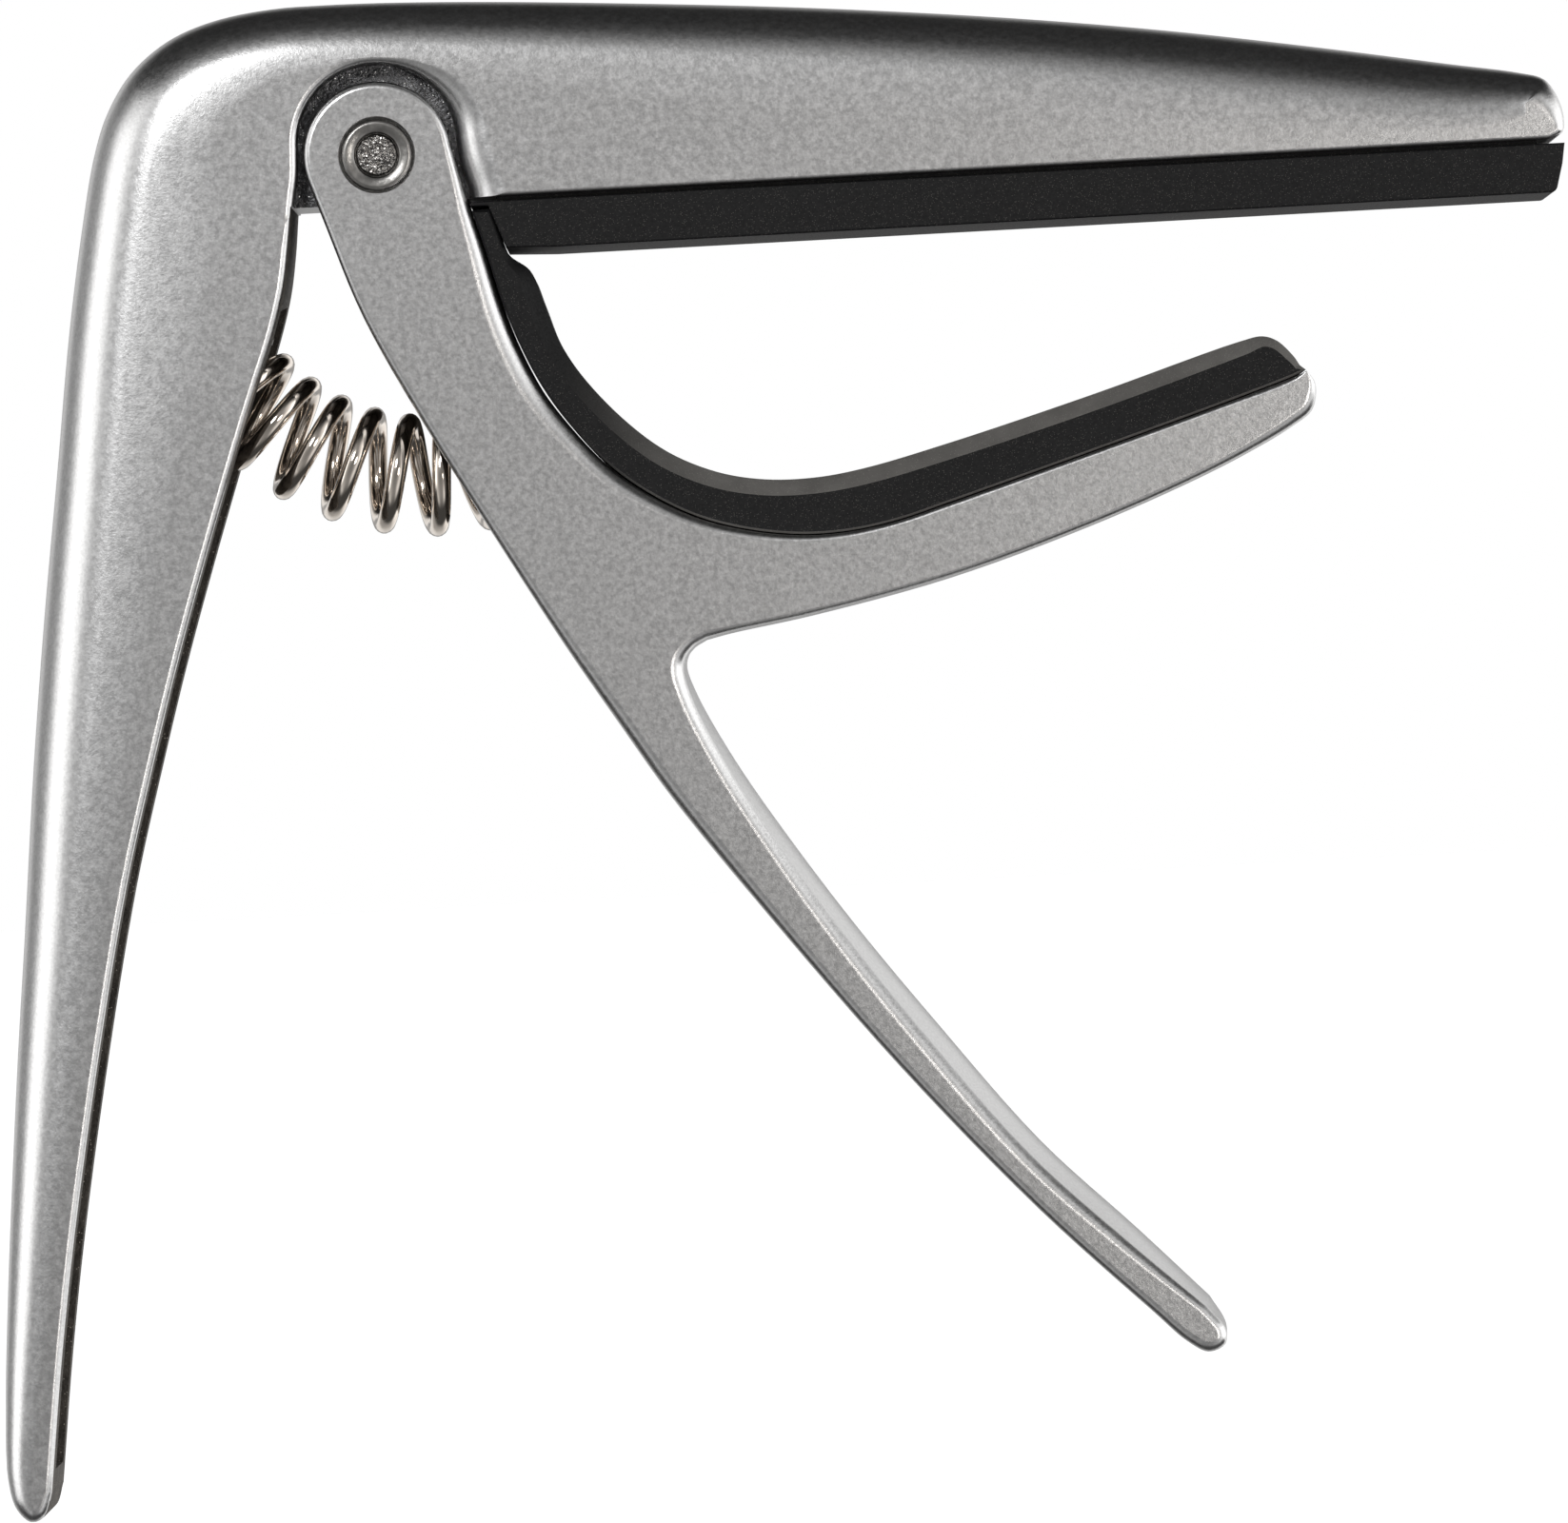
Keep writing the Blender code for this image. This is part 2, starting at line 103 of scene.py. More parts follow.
def smooth(points: Iterable[Spot], steps: int = 6) -> list[Vector]:
    """Threads a centripetal Catmull-Rom curve through points.

    Args:
        points: The points, whose rim radius and crown vary along the curve too.
        steps: Points per stretch.

    Returns:
        The curve's points, both ends included.
    """
    ends = [full(point) for point in points]
    path = [2 * ends[0] - ends[1], *ends, 2 * ends[-1] - ends[-2]]
    found: list[Vector] = []
    for p0, p1, p2, p3 in zip(path, path[1:], path[2:], path[3:]):
        t1 = (p1 - p0).xy.length ** 0.5
        t2 = t1 + (p2 - p1).xy.length ** 0.5
        t3 = t2 + (p3 - p2).xy.length ** 0.5
        for step in range(steps):
            t = t1 + (t2 - t1) * step / steps
            a1 = p0.lerp(p1, t / t1)
            a2 = p1.lerp(p2, (t - t1) / (t2 - t1))
            a3 = p2.lerp(p3, (t - t2) / (t3 - t2))
            b1 = a1.lerp(a2, t / t2)
            b2 = a2.lerp(a3, (t - t1) / (t3 - t1))
            found.append(b1.lerp(b2, (t - t1) / (t2 - t1)))
    return [*found, ends[-1]]


def arc(centre: Vector, radius: float, start: float, end: float, rim: float, steps: int = 48) -> list[Vector]:
    """Lays points on an arc.

    Args:
        centre: The arc's centre.
        radius: Its radius.
        start: Where it starts, in degrees anticlockwise from +X.
        end: Where it ends.
        rim: The rim radius at every point.
        steps: How many steps it takes.

    Returns:
        The arc's points, both ends included.
    """
    turns = [math.radians(start + (end - start) * i / steps) for i in range(steps + 1)]
    return [full((centre.x + radius * math.cos(t), centre.y + radius * math.sin(t), rim)) for t in turns]


def joined(*stretches: Iterable[Sequence[float]]) -> list[Vector]:
    """Joins stretches into one closed outline, without repeated points.

    Args:
        *stretches: Runs of points, in order.

    Returns:
        The outline's points.
    """
    outline: list[Vector] = []
    for point in [full(p) for stretch in stretches for p in stretch]:
        if not outline or (point - outline[-1]).xy.length > SAME_POINT:
            outline.append(point)
    if (outline[0] - outline[-1]).xy.length <= SAME_POINT:
        outline.pop()
    return outline


def beside(points: Sequence[Vector], distance: float) -> list[Vector]:
    """Moves an open stretch sideways.

    Args:
        points: The stretch.
        distance: How far, positive to the right of its direction.

    Returns:
        The moved points.
    """
    moved = []
    for i, here in enumerate(points):
        along = (points[min(i + 1, len(points) - 1)] - points[max(i - 1, 0)]).xy.normalized()
        moved.append(here + Vector((along.y * distance, -along.x * distance, 0, 0)))
    return moved


def outward(outline: Sequence[Vector]) -> list[Vector]:
    """Finds how far each point of an outline moves in XZ when the outline grows by 1 mm.

    Args:
        outline: The points, anticlockwise.

    Returns:
        One step for each point.
    """
    steps = []
    for before, here, after in zip([outline[-1], *outline[:-1]], outline, [*outline[1:], outline[0]]):
        into = (here - before).xy.normalized()
        out_of = (after - here).xy.normalized()
        side = Vector((into.y + out_of.y, -into.x - out_of.x)).normalized()
        steps.append(side / max(0.5, side.dot(Vector((out_of.y, -out_of.x)))))
    return steps


# ------------------------------------------------------------------ solids


@dataclass(frozen=True)
class Level:
    """One ring of a slab.

    The ring lies at y, moved by depth times each point's rim radius and rise times its crown, and inside
    the outline by inset times the rim radius and sag times the crown.
    """

    y: float
    depth: float = 0.0
    inset: float = 0.0
    sag: float = 0.0
    rise: float = 0.0


def quarter(rings: int) -> list[tuple[float, float]]:
    """(cos, sin) at equal steps from 0 to 90 degrees."""
    turns = [math.pi / 2 * i / rings for i in range(rings + 1)]
    return [(math.cos(t), math.sin(t)) for t in turns]


def rim_levels(half: float, rings: int = 9, crown_rings: int = 4) -> list[Level]:
    """Sets out a crowned side wall and a rounded rim.

    Args:
        half: Half the thickness.
        rings: Rings in the rim.
        crown_rings: Rings in the wall.

    Returns:
        The rings from the middle plane to the front face.
    """
    shares = [i / crown_rings for i in range(crown_rings)]
    wall = [Level(-half * share, depth=share, sag=share**2) for share in shares]
    return wall + [Level(-half, depth=1 - s, inset=1 - c, sag=1.0) for c, s in quarter(rings)]


def shoulder_levels(half: float, dip: float, rings: int = 10) -> list[Level]:
    """Sets out a straight wall, a round, then a wide low shoulder, as wide as each point's crown.

    Args:
        half: Half the thickness.
        dip: How far the shoulder's outer end lies below the face, for each millimetre of its width.
        rings: Rings in the round.

    Returns:
        The rings from the middle plane to the front face.
    """
    lean = math.atan(2 * dip)
    turns = [(math.pi / 2 - lean) * i / rings for i in range(rings + 1)]
    rim = [Level(-half, depth=1 - math.sin(t), inset=1 - math.cos(t), rise=dip) for t in turns]
    steps = [0.15, 0.3, 0.5, 0.7, 0.85, 1.0]
    return [Level(0), *rim, *(Level(-half, inset=1, sag=t, rise=dip * (1 - t) ** 2) for t in steps)]


def lay_outline(bm: BMesh, outline: Sequence[Vector], level: Level) -> list[BMEdge]:
    """Lays a closed outline's first ring in the bmesh, and keeps each point's facts in vertex layers.

    Args:
        bm: The bmesh to draw in, in millimetres.
        outline: The points, anticlockwise.
        level: Where the ring lies.

    Returns:
        The ring's edges.
    """
    spot = bm.verts.layers.float_vector.new("spot")
    step = bm.verts.layers.float_vector.new("step")
    verts = []
    for point, way in zip(outline, outward(outline)):
        vert = bm.verts.new((point.x, 0, point.y))
        vert[spot] = (point.x, point.y, max(0.0, point.w))
        vert[step] = (way.x, way.y, point.z)
        verts.append(vert)
    ring = [bm.edges.new((a, b)) for a, b in zip(verts, [*verts[1:], verts[0]])]
    place_ring(bm, verts, level)
    return ring


def place_ring(bm: BMesh, verts: Iterable[BMVert], level: Level) -> None:
    """Moves a ring to a level.

    Args:
        bm: The bmesh that holds the ring.
        verts: The ring's vertices.
        level: Where they go.
    """
    spot = bm.verts.layers.float_vector["spot"]
    step = bm.verts.layers.float_vector["step"]
    for vert in verts:
        x, z, crown = vert[spot]
        way_x, way_z, rim = vert[step]
        inset = level.inset * rim + level.sag * crown
        y = level.y + level.depth * rim + level.rise * crown
        vert.co = (x - way_x * inset, y, z - way_z * inset)


def raise_rings(bm: BMesh, ring: list[BMEdge], levels: Iterable[Level], slot_index: int = 0) -> list[BMEdge]:
    """Extrudes a ring of edges from level to level.

    Args:
        bm: The bmesh that holds the ring.
        ring: The edges to start from.
        levels: Where each new ring goes.
        slot_index: The material index of the new faces.

    Returns:
        The last ring's edges.
    """
    for level in levels:
        made = bmesh.ops.extrude_edge_only(bm, edges=ring)["geom"]
        place_ring(bm, [g for g in made if isinstance(g, BMVert)], level)
        for face in [g for g in made if isinstance(g, BMFace)]:
            face.material_index = slot_index
        fresh = {g for g in made if isinstance(g, BMEdge)}
        old = {v for e in ring for v in e.verts}
        ring = [e for e in fresh if not (set(e.verts) & old)]
    return ring


def slab(outline: Sequence[Vector], levels: Sequence[Level]) -> BMesh:
    """Makes a closed plate, the same on both sides of the middle plane.

    Args:
        outline: The points, anticlockwise.
        levels: Rings from the middle plane to the front face.

    Returns:
        The plate, in millimetres.
    """
    bm = bmesh.new()
    ring = raise_rings(bm, lay_outline(bm, outline, levels[0]), levels[1:])
    bmesh.ops.contextual_create(bm, geom=ring)
    bmesh.ops.mirror(bm, geom=[*bm.verts, *bm.edges, *bm.faces], axis="Y", merge_dist=MERGE)
    return bm


def recess_cutter(outline: Sequence[Vector], face: float, floor: float, rings: int = 8) -> BMesh:
    """Makes a cutter from beyond a flat face down to a floor, which rounds the rim it leaves.

    Args:
        outline: The points, anticlockwise.
        face: The face's y.
        floor: The floor's y.
        rings: Rings in the rounded rim.

    Returns:
        The cutter, in millimetres, with material index 1 on its wall and floor.
    """
    way = math.copysign(1, floor - face)
    bm = bmesh.new()
    ring = lay_outline(bm, outline, Level(face - way, inset=-1.0))
    bmesh.ops.contextual_create(bm, geom=ring)
    ring = raise_rings(bm, ring, [Level(face, depth=way * (1 - c), inset=s - 1) for c, s in quarter(rings)])
    ring = raise_rings(bm, ring, [Level(floor)], slot_index=1)
    for bottom in bmesh.ops.contextual_create(bm, geom=ring)["faces"]:
        bottom.material_index = 1
    return bm


def spun(profile: Sequence[tuple[float, float]], steps: int = 96) -> BMesh:
    """Turns a solid about the hinge axis.

    Args:
        profile: Points of (radius, y) that start and end on the axis.
        steps: Steps in the turn.

    Returns:
        The solid, in millimetres.
    """
    bm = bmesh.new()
    verts = [bm.verts.new((PIVOT.x + radius, y, PIVOT.y)) for radius, y in profile]
    for near, far in zip(verts, verts[1:]):
        bm.edges.new((near, far))
    outline = [*bm.verts, *bm.edges]
    centre = (PIVOT.x, 0, PIVOT.y)
    bmesh.ops.spin(bm, geom=outline, cent=centre, axis=(0, 1, 0), angle=math.tau, steps=steps, use_merge=True)
    return bm


def peg(centre: Vector, along: Vector, radius: float, length: float, bevel: float = 0.3) -> BMesh:
    """Makes a round post with bevelled ends.

    Args:
        centre: Its middle.
        along: The way it points.
        radius: Its radius.
        length: Its length.
        bevel: The bevel's width.

    Returns:
        The post, in millimetres.
    """
    bm = bmesh.new()
    place = Matrix.Translation(centre) @ along.to_track_quat("Z", "Y").to_matrix().to_4x4()
    sizes = {"radius1": radius, "radius2": radius, "depth": length}
    bmesh.ops.create_cone(bm, cap_ends=True, segments=48, matrix=place, **sizes)
    caps = [face for face in bm.faces if len(face.verts) > 4]
    rims = list({edge for face in caps for edge in face.edges})
    bmesh.ops.bevel(bm, geom=rims, offset=bevel, segments=3, profile=0.5, affect="EDGES", material=-1)
    return bm


# ------------------------------------------------------------------ pieces


def add_object(name: str, content: bpy.types.ID | None) -> Object:
    """Puts an object in the scene.

    Args:
        name: Its name.
        content: Its mesh, curve, camera or light.

    Returns:
        The object, at the origin.
    """
    made = bpy.data.objects.new(name, content)
    bpy.context.scene.collection.objects.link(made)
    return made


def add_piece(name: str, bm: BMesh, materials: Sequence[Material]) -> Object:
    """Closes a bmesh drawn in millimetres into a mesh in metres that faces outwards, and adds it.

    Args:
        name: The piece's name.
        bm: The bmesh, which is freed.
        materials: The materials, in the order of the faces' indices.

    Returns:
        The piece, at the origin.
    """
    bmesh.ops.remove_doubles(bm, verts=bm.verts, dist=MERGE)
    bmesh.ops.recalc_face_normals(bm, faces=bm.faces)
    bmesh.ops.scale(bm, verts=bm.verts, vec=(MM, MM, MM))
    mesh = bpy.data.meshes.new(name)
    bm.to_mesh(mesh)
    bm.free()
    for material in materials:
        mesh.materials.append(material)
    return add_object(name, mesh)


def carve(piece: Object, tool_bm: BMesh, operation: str, materials: Sequence[Material]) -> None:
    """Cuts a tool from a piece, or joins it on, and applies the result.

    Args:
        piece: The piece to change.
        tool_bm: The tool, in millimetres.
        operation: DIFFERENCE or UNION.
        materials: The tool's materials, which its faces keep.
    """
    tool = add_piece("tool", tool_bm, materials)
    modifier = piece.modifiers.new("carve", "BOOLEAN")
    modifier.operation = operation
    modifier.solver = "EXACT"
    modifier.material_mode = "TRANSFER"
    modifier.object = tool
    graph = bpy.context.evaluated_depsgraph_get()
    mesh = bpy.data.meshes.new_from_object(piece.evaluated_get(graph))
    piece.modifiers.clear()
    piece.data = mesh
    bpy.data.objects.remove(tool, do_unlink=True)


def shade(piece: Object, crease: float) -> None:
    """Shades a piece smooth, with edges over the crease angle sharp."""
    piece.data.shade_smooth()
    piece.data.set_sharp_from_angle(angle=math.radians(crease))


def finish_surface(piece: Object, crease: float = 32.0) -> None:
    """Shades a piece smooth and keeps its flat faces flat.

    Args:
        piece: The piece.
        crease: The angle, in degrees, over which an edge stays sharp.
    """
    shade(piece, crease)
    weigh = piece.modifiers.new("flat faces stay flat", "WEIGHTED_NORMAL")
    weigh.mode = "FACE_AREA"
    weigh.weight = 50
    weigh.keep_sharp = True


def seat(piece: Object, body: Body, node: str) -> Object:
    """Fixes a piece to its body in place of its CAD node.

    Args:
        piece: The piece.
        body: The body it rides on.
        node: The CAD node it stands for.

    Returns:
        The piece.
    """
    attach(piece, body.value)
    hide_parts(node)
    log.info("%s: %d faces, rides on %s", piece.name, len(piece.data.polygons), body.value)
    return piece


# ------------------------------------------------------------------ finishes


def rgba(tone: Tone, factor: float = 1.0) -> tuple[float, ...]:
    """A tone made lighter or darker, as an opaque colour."""
    return (*(min(1.0, factor * c) for c in tone), 1.0)


class NodeBench:
    """A node tree being wired."""

    def __init__(self, tree: NodeTree) -> None:
        """Clears the tree and keeps it."""
        self.tree = tree
        tree.nodes.clear()

    def add(self, kind: str, **settings: object) -> Node:
        """Adds a node.

        Args:
            kind: The node's type name, without its ShaderNode prefix.
            **settings: Attributes to set on it.

        Returns:
            The node.
        """
        node = self.tree.nodes.new(kind if kind.startswith("Node") else "ShaderNode" + kind)
        for name, value in settings.items():
            setattr(node, name, value)
        return node

    def feed(self, socket: NodeSocket, value: object) -> None:
        """Gives an input what it reads.

        Args:
            socket: The input.
            value: An output to link to it, or a value to set.
        """
        if isinstance(value, NodeSocket):
            self.tree.links.new(value, socket)
        else:
            socket.default_value = value

    def math(self, operation: str, *values: object) -> NodeSocket:
        """Adds a Math node.

        Args:
            operation: Its operation.
            *values: Numbers or sockets.

        Returns:
            Its output.
        """
        node = self.add("Math", operation=operation)
        for socket, value in zip(node.inputs, values):
            self.feed(socket, value)
        return node.outputs[0]

    def noise(self, vector: object, scale: object, detail: float, rough: float) -> NodeSocket:
        """Adds a Noise Texture.

        Args:
            vector: The coordinates it reads.
            scale: Its scale.
            detail: Its detail.
            rough: Its roughness.

        Returns:
            Its factor.
        """
        node = self.add("TexNoise")
        given = {"Vector": vector, "Scale": scale, "Detail": detail, "Roughness": rough}
        for name, value in given.items():
            self.feed(node.inputs[name], value)
        return node.outputs["Fac"]

    def step(
        self, value: object, low: float, high: float, to_low: float = 0.0, to_high: float = 1.0
    ) -> NodeSocket:
        """Adds a smooth Map Range.

        Args:
            value: What is mapped.
            low: Where the range starts.
            high: Where it ends.
            to_low: The result at its start.
            to_high: The result at its end.

        Returns:
            The mapped value.
        """
        node = self.add("MapRange", interpolation_type="SMOOTHSTEP")
        given = {"Value": value, "From Min": low, "From Max": high, "To Min": to_low, "To Max": to_high}
        for name, part in given.items():
            self.feed(node.inputs[name], part)
        return node.outputs["Result"]

    def mix(self, factor: object, first: object, second: object) -> NodeSocket:
        """Adds a colour mix.

        Args:
            factor: The second colour's share.
            first: The first colour.
            second: The second colour.

        Returns:
            The mixed colour.
        """
        node = self.add("Mix", data_type="RGBA")
        for index, value in ((0, factor), (6, first), (7, second)):
            self.feed(node.inputs[index], value)
        return node.outputs[2]

    def blend(self, share: object, first: object, second: object) -> NodeSocket:
        """Adds a mix of two numbers.

        Args:
            share: The second number's share.
            first: The first number.
            second: The second number.

        Returns:
            The mixed number.
        """
        node = self.add("Mix", data_type="FLOAT")
        for index, value in ((0, share), (2, first), (3, second)):
            self.feed(node.inputs[index], value)
        return node.outputs[0]

    def bump(self, height: object, strength: float, distance: float) -> NodeSocket:
        """Adds a Bump node.

        Args:
            height: The height it reads, from 0 to 1.
            strength: Its strength.
            distance: What a height of 1 is, in metres.

        Returns:
            Its normal.
        """
        node = self.add("Bump")
        for name, value in (("Height", height), ("Strength", strength), ("Distance", distance)):
            self.feed(node.inputs[name], value)
        return node.outputs["Normal"]


class Effects:
    """Shader node groups that several finishes share, each built once."""

    def __init__(self) -> None:
        """Builds the groups."""
        self.grain = self._grain()
        self.specks = self._specks()

    def _group(
        self, name: str, sizes: dict[str, float], outputs: Sequence[str]
    ) -> tuple[NodeTree, NodeBench, Node, Node]:
        """Starts a node group that reads coordinates and numbers, and gives numbers.

        Args:
            name: Its name.
            sizes: Its number inputs and their defaults.
            outputs: The names of its outputs.

        Returns:
            The group's tree, its bench, its input node and its output node.
        """
        tree = bpy.data.node_groups.new(name, "ShaderNodeTree")
        tree.interface.new_socket("Vector", in_out="INPUT", socket_type="NodeSocketVector")
        for label, default in sizes.items():
            socket = tree.interface.new_socket(label, in_out="INPUT", socket_type="NodeSocketFloat")
            socket.default_value = default
        for label in outputs:
            tree.interface.new_socket(label, in_out="OUTPUT", socket_type="NodeSocketFloat")
        bench = NodeBench(tree)
        return tree, bench, bench.add("NodeGroupInput"), bench.add("NodeGroupOutput")

    def _grain(self) -> NodeTree:
        """Builds fine blasted grain with slow mottling.

        Returns:
            The group, whose Height and Mottle both lie round 0.5.
        """
        sizes = {"Grain size": 0.12, "Mottle size": 2.5}
        tree, bench, given, result = self._group("blasted grain", sizes, ["Height", "Mottle"])
        where = given.outputs["Vector"]
        layers = (("Grain size", "Height", 2.0, 0.6), ("Mottle size", "Mottle", 4.0, 0.55))
        for size, label, detail, rough in layers:
            scale = bench.math("DIVIDE", 1 / MM, given.outputs[size])
            bench.feed(result.inputs[label], bench.noise(where, scale, detail, rough))
        return tree

    def _specks(self) -> NodeTree:
        """Builds scattered tiny dots.

        Returns:
            The group, whose Mask is 1 on a dot.
        """
        sizes = {"Spacing": 0.2, "Share": 0.2}
        tree, bench, given, result = self._group("scattered specks", sizes, ["Mask"])
        cells = bench.add("TexVoronoi")
        bench.feed(cells.inputs["Vector"], given.outputs["Vector"])
        bench.feed(cells.inputs["Scale"], bench.math("DIVIDE", 1 / MM, given.outputs["Spacing"]))
        luck = bench.add("SeparateColor")
        bench.feed(luck.inputs[0], cells.outputs["Color"])
        dot = bench.step(cells.outputs["Distance"], 0.18, 0.34, 1.0, 0.0)
        chosen = bench.math("LESS_THAN", luck.outputs[0], given.outputs["Share"])
        bench.feed(result.inputs["Mask"], bench.math("MULTIPLY", dot, chosen))
        return tree


class Paint:
    """A material being made: its bench, its Principled shader and the shared effects placed in it."""

    def __init__(self, name: str, effects: Effects) -> None:
        """Starts a material.

        Args:
            name: Its name.
            effects: The shared effects.
        """
        self.material = bpy.data.materials.new(name)
        self.material.use_nodes = True
        self.effects = effects
        self.bench = NodeBench(self.material.node_tree)
        self.shader = self.bench.add("BsdfPrincipled")
        out = self.bench.add("OutputMaterial")
        self.bench.feed(out.inputs["Surface"], self.shader.outputs[0])
        self.where = self.bench.add("TexCoord").outputs["Object"]

    def _place(self, tree: NodeTree, values: dict[str, float]) -> Node:
        """Places a group.

        Args:
            tree: The group.
            values: Its number inputs.

        Returns:
            The group's node.
        """
        node = self.bench.add("Group", node_tree=tree)
        self.bench.feed(node.inputs["Vector"], self.where)
        for name, value in values.items():
            node.inputs[name].default_value = value
        return node

    def grain(self, size: float, mottle: float) -> tuple[NodeSocket, NodeSocket]:
        """Places blasted grain, and gives its height and its mottle."""
        node = self._place(self.effects.grain, {"Grain size": size, "Mottle size": mottle})
        return node.outputs["Height"], node.outputs["Mottle"]

    def specks(self, spacing: float, share: float) -> NodeSocket:
        """Places scattered specks, and gives their mask."""
        return self._place(self.effects.specks, {"Spacing": spacing, "Share": share}).outputs["Mask"]

    def finish(self, colour: object, metal: float, roughness: object, normal: NodeSocket) -> Material:
        """Feeds the shader.

        Args:
            colour: The base colour.
            metal: How metallic it is.
            roughness: The roughness.
            normal: The normal.

        Returns:
            The material.
        """
        given = {"Base Color": colour, "Metallic": metal, "Roughness": roughness, "Normal": normal}
        for name, value in given.items():
            self.bench.feed(self.shader.inputs[name], value)
        return self.material


@dataclass(frozen=True)
class SatinCasting:
    """Blasted and plated zinc casting: neutral silver with a fine grain."""

    tone: Tone = (0.62, 0.62, 0.622)
    darkest: float = 0.84
    lightest: float = 1.16
    roughness: float = 0.30
    grain_size: float = 0.15
    blotch_size: float = 0.32
    grain_strength: float = 0.3

    def build(self, effects: Effects) -> Material:
        """Makes the material.

        Args:
            effects: The shared effects.

        Returns:
            The material.
        """
        paint = Paint("satin_casting", effects)
        bench = paint.bench
        height, mottle = paint.grain(self.grain_size, self.blotch_size)
        fleck = bench.step(height, 0.25, 0.75)
        blotch = bench.step(mottle, 0.25, 0.75)
        share = bench.math("MULTIPLY_ADD", fleck, 0.62, bench.math("MULTIPLY", blotch, 0.38))
        colour = bench.mix(share, rgba(self.tone, self.darkest), rgba(self.tone, self.lightest))
        wear = bench.step(mottle, 0.25, 0.75, self.roughness - 0.02, self.roughness + 0.04)
        return paint.finish(colour, 1.0, wear, bench.bump(height, self.grain_strength, 0.02 * MM))


@dataclass(frozen=True)
class PaintedShadeCasting:
    """Painted shade for the castings' recesses and inner walls: a dark tone, duller and rougher, with bright
    specks.
    """

    name: str = "painted_shade_casting"
    tone: Tone = (0.16, 0.16, 0.165)
    speck_tone: Tone = (0.95, 0.94, 0.92)
    speck_share: float = 0.25
    metal: float = 1.0
    roughness: float = 0.28

    def build(self, effects: Effects) -> Material:
        """Makes the material.

        Args:
            effects: The shared effects.

        Returns:
            The material.
        """
        paint = Paint(self.name, effects)
        bench = paint.bench
        height, mottle = paint.grain(0.22, 1.2)
        base = bench.mix(bench.step(mottle, 0.3, 0.7), rgba(self.tone, 0.45), rgba(self.tone))
        colour = bench.mix(paint.specks(0.13, self.speck_share), base, rgba(self.speck_tone))
        wear = bench.step(height, 0.2, 0.8, self.roughness, self.roughness + 0.2)
        return paint.finish(colour, self.metal, wear, bench.bump(height, 1.0, 0.1 * MM))


@dataclass(frozen=True)
class BlackRubber:
    """Matt black rubber with a fine tooth and pale mineral specks.

    Where a strip gets a grey tone of painted light, the grey fades in along X between the two given bounds,
    from the unlit black.
    """

    name: str = "black_rubber"
    tone: Tone = (0.003, 0.003, 0.0035)
    speck_tone: Tone = (0.095, 0.09, 0.083)
    speck_share: float = 0.28
    painted_light_from: float | None = None
    painted_light_to: float = 0.0
    unlit_tone: Tone = (0.003, 0.003, 0.0035)

    def build(self, effects: Effects) -> Material:
        """Makes the material.

        Args:
            effects: The shared effects.

        Returns:
            The material.
        """
        paint = Paint(self.name, effects)
        bench = paint.bench
        height, mottle = paint.grain(0.14, 1.6)
        base = bench.mix(mottle, rgba(self.tone, 0.7), rgba(self.tone, 1.4))
        colour = bench.mix(paint.specks(0.07, self.speck_share), base, rgba(self.speck_tone))
        # Painted light: the grey stands in for light falling on the chamfer, and fades along X to the unlit
        # black tone.
        if self.painted_light_from is not None:
            apart = bench.add("SeparateXYZ")
            bench.feed(apart.inputs[0], paint.where)
            painted_light_share = bench.step(apart.outputs[0], self.painted_light_from * MM, self.painted_light_to * MM)
            colour = bench.mix(painted_light_share, rgba(self.unlit_tone), colour)
        paint.shader.inputs["Specular IOR Level"].default_value = 0.28
        wear = bench.step(height, 0.3, 0.7, 0.52, 0.70)
        return paint.finish(colour, 0.0, wear, bench.bump(height, 0.45, 0.03 * MM))


@dataclass(frozen=True)
class BrightNickel:
    """Polished nickel wire with faint drawing marks."""

    tone: Tone = (0.86, 0.78, 0.70)

    def build(self, effects: Effects) -> Material:
        """Makes the material.

        Args:
            effects: The shared effects.

        Returns:
            The material.
        """
        paint = Paint("bright_nickel", effects)
        bench = paint.bench
        height, mottle = paint.grain(0.25, 1.1)
        colour = bench.mix(mottle, rgba(self.tone, 0.86), rgba(self.tone))
        wear = bench.step(mottle, 0.3, 0.7, 0.07, 0.15)
        return paint.finish(colour, 1.0, wear, bench.bump(height, 0.05, 0.02 * MM))


